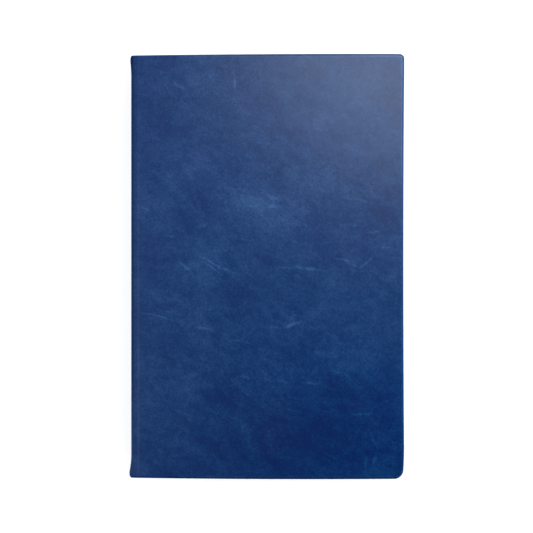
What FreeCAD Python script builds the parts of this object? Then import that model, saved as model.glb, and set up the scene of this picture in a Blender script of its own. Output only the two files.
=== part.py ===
"""Case-bound pilot logbook, lying closed on its back cover.

The book is built up the way a binder makes it: folded sections sewn through their folds, a spine
consolidated with bands, mull and lining, two boards and a spine inlay covered in one skin of leather
whose edges are turned in, and endpapers that hold the sewn block in its case.

Frame: +Z up from the back cover's outer face, +Y towards the head of the pages, +X from the spine
towards the fore-edge.  The origin is the middle of the book's footprint, on the surface it lies on.
"""
import FreeCAD
import Part
import math
import os
import Sketcher

SIZES = {
    # the closed case, seen from above
    "cover_height": (222.0, "head to tail at the fullest point"),
    "cover_width": (142.6, "flat of the spine to the fore-edge"),
    "head_bow_radius": (8000.0, "the head edge is very slightly rounded"),
    "head_bow_peak": (44.0, "where along the head edge that rounding peaks"),
    "tail_bow_radius": (5700.0, "the tail edge likewise"),
    "tail_bow_peak": (23.0, "where along the tail edge that rounding peaks"),
    "fore_edge_hollow_radius": (12000.0, "the fore-edge is very slightly hollow"),
    "fore_edge_hollow": (0.49, "how far its middle is pulled in"),
    "head_corner_radius": (2.4, "corner of the case at the head"),
    "tail_corner_radius": (4.4, "corner of the case at the tail"),
    # the case's layers
    "leather_thickness": (0.9, "leather over boards and spine"),
    "board_thickness": (2.0, "greyboard"),
    "turn_in_thickness": (0.3, "pared edge of the leather, on the board's inner face"),
    "turn_in_width": (15.0, "how far the leather is turned in"),
    "rolled_edge_radius": (1.2, "outer edge of the covered board"),
    "inner_edge_radius": (0.5, "inner edge of the covered board"),
    "mitre_width": (0.25, "gap between two turn-ins at a corner"),
    "mitre_stop": (2.2, "where that gap ends, short of the case's edge"),
    # the joints
    "joint_width": (3.7, "flat of the spine to the edge of each board"),
    "shoulder_radius": (1.5, "outside rounding where the joint turns into the spine"),
    "shoulder_slope": (20.0, "fall of the joint towards the spine, in degrees"),
    "hinge_inset": (1.2, "flat of the spine to the line a cover turns on"),
    "joint_end": (110.2, "half length of the joint's leather"),
    "joint_start": (0.3, "where the spine panel stops short of the hinge line"),
    # the spine
    "spine_stack": (2.0, "flat of the spine to the backs of the folds"),
    "inlay_thickness": (0.4, "card in the spine panel"),
    "inlay_length": (202.0, "card in the spine panel"),
    "lining_thickness": (0.15, "kraft paper"),
    "lining_length": (210.0, "kraft paper"),
    "mull_thickness": (0.15, "open gauze"),
    "mull_length": (190.0, "open gauze"),
    "mull_flap_width": (20.0, "gauze glued to each board"),
    "spine_end": (110.25, "half length of the spine panel"),
    "flare_start": (101.5, "where the turned-in ends begin to swell"),
    "flare_head": (0.5, "swelling at the head"),
    "flare_tail": (1.0, "swelling at the tail"),
    "spine_corner_radius": (1.5, "rounding of the spine panel's ends"),
    # the sewn block
    "page_height": (215.9, "trimmed height of a leaf"),
    "fore_edge_square": (3.0, "cover beyond the pages at the fore-edge"),
    "section_thickness": (1.5, "sixteen leaves, folded and pressed"),
    "leaf_thickness": (0.1, "one leaf of log paper"),
    "leaf_gap": (0.02, "air between loose leaves"),
    "endpaper_thickness": (0.15, "pastedown and flyleaf"),
    "cover_gap": (0.05, "air between a pastedown and its flyleaf"),
    # the sewing
    "thread_radius": (0.2, "linen thread"),
    "thread_hole_radius": (0.28, "pierced hole and the crease the thread beds in"),
    "kettle_station": (97.0, "end stitches, from the middle of the spine"),
    "outer_station": (66.0, "second holes"),
    "inner_station": (46.0, "third holes"),
    # head and tail bands
    "band_radius": (0.95, "beaded edge"),
    "band_tape_thickness": (0.3, "cloth behind the bead"),
    "band_tape_length": (9.0, "cloth behind the bead"),
}

SECTION_COUNT = 8
TURNING_LEAF_COUNT = 3
THREAD_SIDES = 6
HOLE_SIDES = 4
MADE_WITHIN = 1e-6


document = FreeCAD.newDocument("pilot_logbook")
sheet = document.addObject("Spreadsheet::Sheet", "sizes")


def fill_sheet():
    for row, (alias, (number, note)) in enumerate(SIZES.items(), 1):
        sheet.set(f"A{row}", alias)
        sheet.set(f"B{row}", str(number))
        sheet.set(f"C{row}", note)
        sheet.setAlias(f"B{row}", alias)
    document.recompute()


fill_sheet()


def cell(alias):
    return f"sizes.{alias}"


def value(expression):
    """The number that an expression on the sheet gives now."""
    result = sheet.evalExpression(expression)
    return float(getattr(result, "Value", result))


# Lengths that follow from the driving sizes, as expressions on the sheet.
LEATHER = cell("leather_thickness")
BOARD_FACE = f"({LEATHER} + {cell('board_thickness')})"
TURN_IN_FACE = f"({BOARD_FACE} + {cell('turn_in_thickness')})"
COVER_INNER_FACE = f"({TURN_IN_FACE} + {cell('endpaper_thickness')})"
FLYLEAF_FACE = f"({COVER_INNER_FACE} + {cell('cover_gap')})"
BLOCK_FACE = f"({FLYLEAF_FACE} + {cell('endpaper_thickness')} + {cell('leaf_gap')})"
BLOCK_THICKNESS = f"({SECTION_COUNT} * {cell('section_thickness')})"
LOOSE_LEAVES = f"({TURNING_LEAF_COUNT} * ({cell('leaf_thickness')} + {cell('leaf_gap')}))"
BLOCK_TOP = f"({BLOCK_FACE} + {BLOCK_THICKNESS})"
BOOK_THICKNESS = f"({BLOCK_TOP} + {LOOSE_LEAVES} + {BLOCK_FACE})"
HINGE_DEPTH = f"({COVER_INNER_FACE} + {cell('cover_gap')} / 2)"

SPINE_X = f"(({cell('flare_tail')} - {cell('cover_width')}) / 2)"
FORE_EDGE_X = f"(({cell('flare_tail')} + {cell('cover_width')}) / 2)"
JOINT_X = f"({SPINE_X} + {cell('joint_width')})"
HINGE_X = f"({SPINE_X} + {cell('hinge_inset')})"
FOLD_X = f"({SPINE_X} + {cell('spine_stack')})"
PAGE_X = f"({FORE_EDGE_X} - {cell('fore_edge_square')})"
HALF_COVER = f"({cell('cover_height')} / 2)"
HALF_PAGE = f"({cell('page_height')} / 2)"
TURN_IN_X = f"({FORE_EDGE_X} - {cell('turn_in_width')})"
TURN_IN_Y = f"({HALF_COVER} - {cell('turn_in_width')})"
FLAP_X = f"({JOINT_X} + {cell('mull_flap_width')})"
SPINE_BOTTOM = f"({HINGE_DEPTH} + {cell('joint_start')})"
SPINE_TOP = f"({BOOK_THICKNESS} - {HINGE_DEPTH} - {cell('joint_start')})"
THREAD_X = f"({FOLD_X} - {cell('thread_radius')})"
CREASE_X = f"({FOLD_X} + {cell('section_thickness')} / 2)"


def slab(side, near, far):
    """Lowest level and thickness of a layer, from its two depths below a cover's outer face."""
    low = near if side == "back" else f"{BOOK_THICKNESS} - {far}"
    return low, f"{far} - {near}"


# Sketching: a sketch numbers the points of its geometry, and its own horizontal axis is number -1.

START, END, CENTRE = 1, 2, 3
X_AXIS = -1
ORIGIN = (X_AXIS, START)


def new_body(label):
    body = document.addObject("PartDesign::Body", label)
    body.Label = label
    return body


def new_sketch(body, name, plane="XY_Plane", offset="0"):
    """A sketch on one of the body's origin planes, moved along its normal by an expression."""
    sketch = body.newObject("Sketcher::SketchObject", name)
    support = next(item for item in body.Origin.OriginFeatures if item.Role == plane)
    sketch.AttachmentSupport = [(support, "")]
    sketch.MapMode = "FlatFace"
    sketch.setExpression("AttachmentOffset.Base.z", offset)
    return sketch


def dimension(sketch, kind, *arguments, expression):
    """Adds one dimension and binds it to the sheet."""
    index = sketch.addConstraint(Sketcher.Constraint(kind, *arguments, value(expression)))
    sketch.setExpression(f"Constraints[{index}]", expression)


def arc_between(start, end, radius, bulge):
    """The shorter arc from start to end, bulging to the left or right of the way along it."""
    middle = (start + end) / 2
    half = (end - start) / 2
    across = FreeCAD.Vector(-half.y, half.x, 0).normalize()
    towards_centre = math.sqrt(max(radius**2 - half.Length**2, 0.0))
    centre = middle + across * (-towards_centre if bulge == "left" else towards_centre)
    circle = Part.Circle(centre, FreeCAD.Vector(0, 0, 1), radius)
    first, last = (end, start) if bulge == "left" else (start, end)
    return Part.ArcOfCircle(circle, circle.parameter(first), circle.parameter(last))


def draw(sketch, outline, closed=True):
    """Draws an outline given as corners, each with the edge that leads to the next corner.

    Returns its first and last corners.

    A corner is (x, y, edge), and an edge is "line", or the side it bulges to with its radius or
    "half round".  Every number is an expression, and each becomes a dimension of the sketch.
    """
    places = [FreeCAD.Vector(value(x), value(y), 0) for x, y, _ in outline]
    count = len(outline) if closed else len(outline) - 1
    ends = []
    for index in range(count):
        start, end = places[index], places[(index + 1) % len(places)]
        edge = outline[index][2]
        if edge == "line":
            number = sketch.addGeometry(Part.LineSegment(start, end))
            ends.append(((number, START), (number, END)))
        else:
            bulge, radius = edge
            half_round = radius == "half round"
            size = (end - start).Length / 2 if half_round else value(radius)
            number = sketch.addGeometry(arc_between(start, end, size, bulge))
            if half_round:
                ends_and_middle = (number, START, number, END, number, CENTRE)
                sketch.addConstraint(Sketcher.Constraint("Symmetric", *ends_and_middle))
            else:
                dimension(sketch, "Radius", number, expression=radius)
            first, last = (END, START) if bulge == "left" else (START, END)
            ends.append(((number, first), (number, last)))
    for index in range(count if closed else count - 1):
        sketch.addConstraint(
            Sketcher.Constraint("Coincident", *ends[index][1], *ends[(index + 1) % count][0])
        )
    starts = [start for start, _ in ends]
    if not closed:
        starts.append(ends[-1][1])
    for (x, y, _), point in zip(outline, starts):
        dimension(sketch, "DistanceX", *ORIGIN, *point, expression=x)
        dimension(sketch, "DistanceY", *ORIGIN, *point, expression=y)
    return starts[0], starts[-1]


def polygon(x, y, radius, sides):
    """A regular outline of flat sides about a point, with a corner on each side of it along x."""
    corners = []
    for side in range(sides):
        turn = f"({360 * side / sides} * 1 deg)"
        corners.append((f"({x} + {radius} * cos({turn}))", f"({y} + {radius} * sin({turn}))", "line"))
    return corners


def draw_circle(sketch, x, y, radius):
    centre = FreeCAD.Vector(value(x), value(y), 0)
    circle = Part.Circle(centre, FreeCAD.Vector(0, 0, 1), value(radius))
    number = sketch.addGeometry(circle)
    dimension(sketch, "DistanceX", *ORIGIN, number, CENTRE, expression=x)
    dimension(sketch, "DistanceY", *ORIGIN, number, CENTRE, expression=y)
    dimension(sketch, "Radius", number, expression=radius)


def rectangle(left, right, bottom, top):
    corners = [(left, bottom), (right, bottom), (right, top), (left, top)]
    return [(x, y, "line") for x, y in corners]


# Features

def pad(body, name, sketch, length, symmetric=False):
    feature = body.newObject("PartDesign::Pad", name)
    feature.Profile = sketch
    feature.setExpression("Length", length)
    if symmetric:
        feature.Midplane = True
    return feature


def pocket(body, name, sketch, depth):
    """Cuts upwards from the sketch's plane, and makes sure that it has cut something."""
    before = body.Tip
    feature = body.newObject("PartDesign::Pocket", name)
    feature.Profile = sketch
    feature.Reversed = True
    feature.setExpression("Length", depth)
    document.recompute()
    if feature.Shape.Volume > before.Shape.Volume - MADE_WITHIN:
        raise RuntimeError(f"{name} cuts nothing")
    return feature


def plate(label, drawn, low, thickness):
    """A flat piece of one thickness, lying level; drawn is an outline or a function that draws it."""
    body = new_body(label)
    sketch = new_sketch(body, f"{label}_outline", offset=low)
    if callable(drawn):
        drawn(sketch)
    else:
        draw(sketch, drawn)
    pad(body, f"{label}_sheet", sketch, thickness)
    return body


def fillet(body, name, edges, radius):
    before = body.Tip
    feature = body.newObject("PartDesign::Fillet", name)
    feature.Base = (before, edges)
    feature.setExpression("Radius", radius)
    return feature


# The case

def edge_arc(sketch, centre, radius, start, end):
    """An arc held by its centre and radius; start and end are near its ends, running clockwise."""
    middle = FreeCAD.Vector(value(centre[0]), value(centre[1]), 0)
    circle = Part.Circle(middle, FreeCAD.Vector(0, 0, 1), value(radius))
    turns = [circle.parameter(FreeCAD.Vector(*point, 0)) for point in (end, start)]
    number = sketch.addGeometry(Part.ArcOfCircle(circle, *turns))
    dimension(sketch, "DistanceX", *ORIGIN, number, CENTRE, expression=centre[0])
    dimension(sketch, "DistanceY", *ORIGIN, number, CENTRE, expression=centre[1])
    dimension(sketch, "Radius", number, expression=radius)
    return number


def corner_arc(sketch, centre, radius):
    """A quarter round at the fore-edge, held by its radius and by what it is tangent to."""
    middle = FreeCAD.Vector(*centre, 0)
    first = 0 if middle.y > 0 else -math.pi / 2
    circle = Part.Circle(middle, FreeCAD.Vector(0, 0, 1), value(radius))
    number = sketch.addGeometry(Part.ArcOfCircle(circle, first, first + math.pi / 2))
    dimension(sketch, "Radius", number, expression=radius)
    return number


def draw_case_edge(sketch, inset="0"):
    """Head, fore-edge and tail of a covered board, or of anything a set distance inside it.

    Returns the two open ends, at the joint: the head's and the tail's.
    """
    head_bow, tail_bow = cell("head_bow_radius"), cell("tail_bow_radius")
    hollow = cell("fore_edge_hollow_radius")
    head_corner = f"({cell('head_corner_radius')} - {inset})"
    tail_corner = f"({cell('tail_corner_radius')} - {inset})"
    joint, fore_edge = value(JOINT_X), value(f"{FORE_EDGE_X} - {inset}")
    half = value(f"{HALF_COVER} - {inset}")
    by_head, by_tail = value(head_corner), value(tail_corner)

    head = edge_arc(
        sketch,
        (cell("head_bow_peak"), f"{HALF_COVER} - {head_bow}"),
        f"{head_bow} - {inset}",
        (joint, half),
        (fore_edge - by_head, half),
    )
    fore = sketch.addGeometry(
        arc_between(
            FreeCAD.Vector(fore_edge, half - by_head, 0),
            FreeCAD.Vector(fore_edge, by_tail - half, 0),
            value(f"{hollow} + {inset}"),
            "right",
        )
    )
    dimension(sketch, "Radius", fore, expression=f"{hollow} + {inset}")
    hollow_centre = f"{FORE_EDGE_X} - {cell('fore_edge_hollow')} + {hollow}"
    dimension(sketch, "DistanceX", *ORIGIN, fore, CENTRE, expression=hollow_centre)
    sketch.addConstraint(Sketcher.Constraint("PointOnObject", fore, CENTRE, X_AXIS))
    tail = edge_arc(
        sketch,
        (cell("tail_bow_peak"), f"{tail_bow} - {HALF_COVER}"),
        f"{tail_bow} - {inset}",
        (fore_edge - by_tail, -half),
        (joint, -half),
    )
    head_round = corner_arc(sketch, (fore_edge - by_head, half - by_head), head_corner)
    tail_round = corner_arc(sketch, (fore_edge - by_tail, by_tail - half), tail_corner)
    meetings = [
        (head, START, head_round, END),
        (head_round, START, fore, START),
        (fore, END, tail_round, END),
        (tail_round, START, tail, END),
    ]
    for meeting in meetings:
        sketch.addConstraint(Sketcher.Constraint("Tangent", *meeting))
    ends = (head, END), (tail, START)
    for end in ends:
        dimension(sketch, "DistanceX", *ORIGIN, *end, expression=JOINT_X)
    return ends


def join(sketch, start, end):
    """A straight line between two points already drawn."""
    first, last = (sketch.getPoint(*point) for point in (start, end))
    line = sketch.addGeometry(Part.LineSegment(first, last))
    sketch.addConstraint(Sketcher.Constraint("Coincident", line, START, *start))
    sketch.addConstraint(Sketcher.Constraint("Coincident", line, END, *end))


def draw_panel(sketch, inset="0"):
    join(sketch, *draw_case_edge(sketch, inset))


def draw_edge_wall(sketch):
    """The leather round the board's edges, from above."""
    for outer, inner in zip(draw_case_edge(sketch), draw_case_edge(sketch, LEATHER)):
        join(sketch, outer, inner)


def draw_turn_in(sketch):
    """The leather turned in on three sides of the board."""
    ends = draw_case_edge(sketch)
    window = [
        (JOINT_X, TURN_IN_Y, "line"),
        (TURN_IN_X, TURN_IN_Y, "line"),
        (TURN_IN_X, f"(-{TURN_IN_Y})", "line"),
        (JOINT_X, f"(-{TURN_IN_Y})", "line"),
    ]
    for outer, inner in zip(ends, draw(sketch, window, closed=False)):
        join(sketch, outer, inner)


def rim_edges(shape, level):
    """Names of the edges at one level that follow head, fore-edge and tail."""
    joint, window = value(JOINT_X), value(TURN_IN_Y)
    names = []
    for number, edge in enumerate(shape.Edges, 1):
        box = edge.BoundBox
        is_level = max(abs(box.ZMin - level), abs(box.ZMax - level)) < MADE_WITHIN
        along_joint = box.XMax < joint + MADE_WITHIN
        within_window = max(box.YMax, -box.YMin) < window + MADE_WITHIN
        if is_level and not along_joint and not within_window:
            names.append(f"Edge{number}")
    return names


def mitre(sign):
    """The gap between the turn-ins of two edges: a thin slanting slot at a fore-edge corner."""
    half = f"({cell('mitre_width')} / 2 * cos(45 deg))"
    reach = f"({cell('turn_in_width')} - {cell('mitre_stop')})"

    def corner(along, aside):
        return (
            f"({TURN_IN_X} + {along} - {aside})",
            f"{sign}({TURN_IN_Y} + {along} + {aside})",
            "line",
        )

    start = f"(-{cell('mitre_width')})"
    return [
        corner(start, half),
        corner(reach, half),
        corner(reach, f"(-{half})"),
        corner(start, f"(-{half})"),
    ]


def cover_leather(label, side):
    """Leather of one board: the outer sheet, its rolled edges and the turn-ins they end in."""
    body = new_body(label)
    layers = [
        ("sheet", draw_panel, "0", LEATHER),
        ("wall", draw_edge_wall, LEATHER, BOARD_FACE),
        ("turn_in", draw_turn_in, BOARD_FACE, TURN_IN_FACE),
    ]
    for name, drawn, near, far in layers:
        low, thickness = slab(side, near, far)
        sketch = new_sketch(body, f"{label}_{name}_outline", offset=low)
        drawn(sketch)
        pad(body, f"{label}_{name}", sketch, thickness)
    depths = [("rolled_edge", "0", "rolled_edge_radius"), ("inner_edge", TURN_IN_FACE, "inner_edge_radius")]
    for name, depth, radius in depths:
        document.recompute()
        level = value(depth) if side == "back" else value(f"{BOOK_THICKNESS} - {depth}")
        fillet(body, f"{label}_{name}", rim_edges(body.Tip.Shape, level), cell(radius))
    mitres = new_sketch(
        body, f"{label}_mitre_outline", offset=slab(side, BOARD_FACE, TURN_IN_FACE)[0]
    )
    for sign in ("", "-"):
        draw(mitres, mitre(sign))
    pocket(body, f"{label}_mitres", mitres, cell("turn_in_thickness"))
    return body


def board(label, side):
    """Greyboard with rounded corners, the leather's thickness inside the case's edge."""
    return plate(label, lambda sketch: draw_panel(sketch, LEATHER), *slab(side, LEATHER, BOARD_FACE))


def mull_flap(label, side):
    half = f"({cell('mull_length')} / 2)"
    outline = rectangle(JOINT_X, FLAP_X, f"-{half}", half)
    return plate(label, outline, *slab(side, BOARD_FACE, TURN_IN_FACE))


def pastedown(label, side):
    """Endpaper pasted to the board: it rides over the turn-ins and the mull, and dips between them."""
    body = new_body(label)
    paper = cell("endpaper_thickness")
    inner_left, inner_right = f"({FLAP_X} + {paper})", f"({TURN_IN_X} - {paper})"
    inner_y = f"({TURN_IN_Y} - {paper})"
    rim = new_sketch(body, f"{label}_rim_outline", offset=slab(side, TURN_IN_FACE, COVER_INNER_FACE)[0])
    draw(rim, rectangle(JOINT_X, PAGE_X, f"-{HALF_PAGE}", HALF_PAGE))
    draw(rim, rectangle(inner_left, inner_right, f"-{inner_y}", inner_y))
    pad(body, f"{label}_rim", rim, paper)
    step_low, step_depth = slab(side, BOARD_FACE, TURN_IN_FACE)
    step = new_sketch(body, f"{label}_step_outline", offset=step_low)
    draw(step, rectangle(FLAP_X, TURN_IN_X, f"-{TURN_IN_Y}", TURN_IN_Y))
    draw(step, rectangle(inner_left, inner_right, f"-{inner_y}", inner_y))
    pad(body, f"{label}_step", step, step_depth)
    floor = new_sketch(
        body, f"{label}_floor_outline", offset=slab(side, BOARD_FACE, f"({BOARD_FACE} + {paper})")[0]
    )
    draw(floor, rectangle(FLAP_X, TURN_IN_X, f"-{TURN_IN_Y}", TURN_IN_Y))
    pad(body, f"{label}_floor", floor, paper)
    return body


def joint_leather(label, side):
    """Leather between a board and the spine panel: it slopes off the board and turns down a shoulder."""
    body = new_body(label)
    sketch = new_sketch(body, f"{label}_section", plane="XZ_Plane")
    radius = cell("shoulder_radius")
    inner_radius = f"({radius} - {LEATHER})"
    slope = f"({cell('shoulder_slope')} * 1 deg)"
    centre_x = f"({SPINE_X} + {radius})"
    run = f"({JOINT_X} - {centre_x})"

    def level(depth):
        """Height of a point a set depth inside the cover's outer face."""
        return depth if side == "back" else f"({BOOK_THICKNESS} - {depth})"

    centre_depth = f"(({run} * sin({slope}) + {radius}) / cos({slope}))"
    outer_bend = (
        f"({centre_x} - {radius} * sin({slope}))",
        level(f"({centre_depth} - {radius} * cos({slope}))"),
    )
    inner_bend = (
        f"({centre_x} - {inner_radius} * sin({slope}))",
        level(f"({centre_depth} - {inner_radius} * cos({slope}))"),
    )
    spine_depth = f"({HINGE_DEPTH} + {cell('joint_start')})"
    inside, outside = ("left", "right") if side == "back" else ("right", "left")
    draw(
        sketch,
        [
            (SPINE_X, level(spine_depth), "line"),
            (SPINE_X, level(centre_depth), (outside, radius)),
            (*outer_bend, "line"),
            (JOINT_X, level("0"), "line"),
            (JOINT_X, level(f"({LEATHER} / cos({slope}))"), "line"),
            (*inner_bend, (inside, inner_radius)),
            (f"({SPINE_X} + {LEATHER})", level(centre_depth), "line"),
            (f"({SPINE_X} + {LEATHER})", level(spine_depth), "line"),
        ],
    )
    pad(body, f"{label}_strip", sketch, f"2 * {cell('joint_end')}", symmetric=True)
    return body


# The spine

def spine_leather():
    """Spine panel from above: straight between its turned-in ends, which swell outwards."""
    body = new_body("spine_leather")
    sketch = new_sketch(body, "spine_panel_outline", offset=SPINE_BOTTOM)
    corner = cell("spine_corner_radius")
    start = cell("flare_start")
    inner = f"({SPINE_X} + {LEATHER})"
    turned = f"({inner} + {cell('inlay_thickness')})"
    inlay_end = f"({cell('inlay_length')} / 2)"

    def end_corners(flare, sign):
        """The swollen end towards +Y or -Y: the flare's radius follows from its run and its rise."""
        run = f"({cell('spine_end')} - {corner} - {start})"
        both = f"(({run}^2 + {flare}^2) / (2 * {flare}))"
        centre_x = f"({SPINE_X} - {flare} + {corner})"
        share = f"({corner} / {both})"
        touch_x = f"({centre_x} - ({both} - {flare}) * {share})"
        touch_y = f"{sign}({cell('spine_end')} - {corner} - {run} * {share})"
        return {
            "start": (SPINE_X, f"{sign}{start}"),
            "radius": f"({both} - {corner})",
            "touch": (touch_x, touch_y),
            "end": (centre_x, f"{sign}{cell('spine_end')}"),
        }

    tail = end_corners(cell("flare_tail"), "-")
    head = end_corners(cell("flare_head"), "")
    draw(
        sketch,
        [
            (*tail["start"], "line"),
            (*head["start"], ("right", head["radius"])),
            (*head["touch"], ("left", corner)),
            (*head["end"], "line"),
            (turned, cell("spine_end"), "line"),
            (turned, inlay_end, "line"),
            (inner, inlay_end, "line"),
            (inner, f"-{inlay_end}", "line"),
            (turned, f"-{inlay_end}", "line"),
            (turned, f"-{cell('spine_end')}", "line"),
            (*tail["end"], ("left", corner)),
            (*tail["touch"], ("right", tail["radius"])),
        ],
    )
    pad(body, "spine_panel", sketch, f"{SPINE_TOP} - {SPINE_BOTTOM}")
    return body


def spine_strip(label, outer, thickness, length, low, high):
    """A strip along the spine, standing on edge: outer is its face towards the leather."""
    half = f"({length} / 2)"
    outline = rectangle(outer, f"({outer} + {thickness})", f"-{half}", half)
    return plate(label, outline, low, f"{high} - {low}")


def spine_strips():
    inlay_x = f"({SPINE_X} + {LEATHER})"
    lining_x = f"({inlay_x} + {cell('inlay_thickness')})"
    mull_x = f"({lining_x} + {cell('lining_thickness')})"
    case_levels = (SPINE_BOTTOM, SPINE_TOP)
    block_levels = (BLOCK_FACE, BLOCK_TOP)
    return [
        spine_strip("spine_inlay", inlay_x, cell("inlay_thickness"), cell("inlay_length"), *case_levels),
        spine_strip("spine_lining", lining_x, cell("lining_thickness"), cell("lining_length"), *block_levels),
        spine_strip("mull", mull_x, cell("mull_thickness"), cell("mull_length"), *block_levels),
    ]


def band(label, sign):
    """A beaded band across one end of the sewn folds, on a tape glued behind them."""
    body = new_body(label)
    radius = cell("band_radius")
    back = f"({FOLD_X} - {cell('band_tape_thickness')})"
    centre = (f"({back} + {radius})", f"{sign}({HALF_PAGE} + {radius})")
    low = f"{sign}({HALF_PAGE} - {cell('band_tape_length')})"
    tape = new_sketch(body, f"{label}_tape_outline", offset=BLOCK_FACE)
    draw(tape, rectangle(back, FOLD_X, low, f"{sign}({HALF_PAGE} + {radius})"))
    pad(body, f"{label}_tape", tape, BLOCK_THICKNESS)
    bead = new_sketch(body, f"{label}_bead_outline", offset=BLOCK_FACE)
    draw_circle(bead, *centre, radius)
    pad(body, f"{label}_bead", bead, BLOCK_THICKNESS)
    return body


# The sewn block

def sewing_path():
    """The way of the thread along one fold: inside between holes, outside over the short stretches."""
    kettle, outer, inner = (cell(f"{name}_station") for name in ("kettle", "outer", "inner"))
    stations = [f"-{kettle}", f"-{outer}", f"-{inner}", inner, outer, kettle]
    corners = []
    for number, station in enumerate(stations):
        ends = (THREAD_X, CREASE_X) if number % 2 == 0 else (CREASE_X, THREAD_X)
        corners += [(x, station, "line") for x in ends]
    return corners


def sewing_pipe(body, kind, name, level, radius, sides):
    """Runs a profile of flat sides along the sewing path, to add thread or to pierce paper."""
    path = new_sketch(body, f"{name}_path", offset=level)
    draw(path, sewing_path(), closed=False)
    profile = new_sketch(body, f"{name}_profile", plane="YZ_Plane", offset=THREAD_X)
    draw(profile, polygon(f"-{cell('kettle_station')}", level, radius, sides))
    pipe = body.newObject(kind, name)
    pipe.Profile = profile
    pipe.Spine = (path, [f"Edge{number + 1}" for number in range(len(sewing_path()) - 1)])
    pipe.Transition = "Right corner"
    return pipe


def section_low(number):
    """Underside of a section: section 1 is the first in reading order, on top."""
    return f"({BLOCK_FACE} + {SECTION_COUNT - number} * {cell('section_thickness')})"


def section(number):
    """One folded section: a round fold at the spine, cut square at the fore-edge, pierced for sewing."""
    label = f"section_{number}"
    body = new_body(label)
    low = section_low(number)
    high = f"({low} + {cell('section_thickness')})"
    sketch = new_sketch(body, f"{label}_profile", plane="XZ_Plane")
    draw(
        sketch,
        [
            (CREASE_X, low, "line"),
            (PAGE_X, low, "line"),
            (PAGE_X, high, "line"),
            (CREASE_X, high, ("right", "half round")),
        ],
    )
    pad(body, f"{label}_paper", sketch, cell("page_height"), symmetric=True)
    middle = f"({low} + {cell('section_thickness')} / 2)"
    sewing_pipe(
        body,
        "PartDesign::SubtractivePipe",
        f"{label}_holes",
        middle,
        cell("thread_hole_radius"),
        HOLE_SIDES,
    )
    return body


def sewing_thread():
    """One thread: it runs along each fold in turn and climbs to the next by a kettle stitch."""
    body = new_body("sewing_thread")
    middle = f"({section_low(SECTION_COUNT)} + {cell('section_thickness')} / 2)"
    radius = cell("thread_radius")
    run = sewing_pipe(body, "PartDesign::AdditivePipe", "thread_run", middle, radius, THREAD_SIDES)
    document.recompute()
    rows = body.newObject("PartDesign::LinearPattern", "thread_rows")
    rows.Originals = [run]
    rows.Direction = (next(a for a in body.Origin.OriginFeatures if a.Role == "Z_Axis"), [""])
    rows.Occurrences = SECTION_COUNT
    rows.setExpression("Length", f"{SECTION_COUNT - 1} * {cell('section_thickness')}")
    body.Tip = rows
    document.recompute()
    climb = new_sketch(body, "kettle_outline", offset=middle)
    for sign in ("-", ""):
        draw(climb, polygon(THREAD_X, f"{sign}{cell('kettle_station')}", radius, THREAD_SIDES))
    pad(body, "kettle_stitches", climb, f"{SECTION_COUNT - 1} * {cell('section_thickness')}")
    return body


def leaf(label, low, thickness):
    """A single leaf, from its fold to the trimmed fore-edge."""
    return plate(label, rectangle(FOLD_X, PAGE_X, f"-{HALF_PAGE}", HALF_PAGE), low, thickness)


def leaves():
    paper, gap = cell("leaf_thickness"), cell("leaf_gap")
    made = [
        leaf("back_flyleaf", FLYLEAF_FACE, cell("endpaper_thickness")),
        leaf(
            "front_flyleaf",
            f"{BOOK_THICKNESS} - {FLYLEAF_FACE} - {cell('endpaper_thickness')}",
            cell("endpaper_thickness"),
        ),
    ]
    for number in range(1, TURNING_LEAF_COUNT + 1):
        below = TURNING_LEAF_COUNT - number
        low = f"({BLOCK_TOP} + {gap} + {below} * ({paper} + {gap}))"
        made.append(leaf(f"log_leaf_{number}", low, paper))
    return made


def build():
    pieces = [section(number) for number in range(1, SECTION_COUNT + 1)]
    pieces.append(sewing_thread())
    pieces += spine_strips()
    pieces += [band("headband", ""), band("tailband", "-"), spine_leather()]
    pieces += leaves()
    for side in ("front", "back"):
        pieces += [
            joint_leather(f"{side}_joint_leather", side),
            cover_leather(f"{side}_cover_leather", side),
            board(f"{side}_board", side),
            mull_flap(f"{side}_mull_flap", side),
            pastedown(f"{side}_pastedown", side),
        ]
    document.recompute()
    return pieces


def check(pieces):
    for item in document.Objects:
        if {"Invalid", "Error"} & set(item.State):
            raise RuntimeError(f"{item.Label} failed: {item.State}")
    for piece in pieces:
        if piece.Shape.isNull() or not piece.Shape.isValid():
            raise RuntimeError(f"{piece.Label} has no valid shape")


def write(pieces):
    os.makedirs("parts", exist_ok=True)
    for piece in pieces:
        piece.Shape.exportStep(f"parts/{piece.Label}.step")
        box = piece.Shape.BoundBox
        print(f"{piece.Label}: {len(piece.Shape.Solids)} solid, {box}")


def print_hinges():
    """The two lines along y that the covers and the loose leaves turn on."""
    for side, level in (("front", f"{BOOK_THICKNESS} - {HINGE_DEPTH}"), ("back", HINGE_DEPTH)):
        print(f"{side} hinge: x {value(HINGE_X):.3f}, z {value(level):.3f}")


made_pieces = build()
check(made_pieces)
write(made_pieces)
print_hinges()
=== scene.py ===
import math
import random

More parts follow.
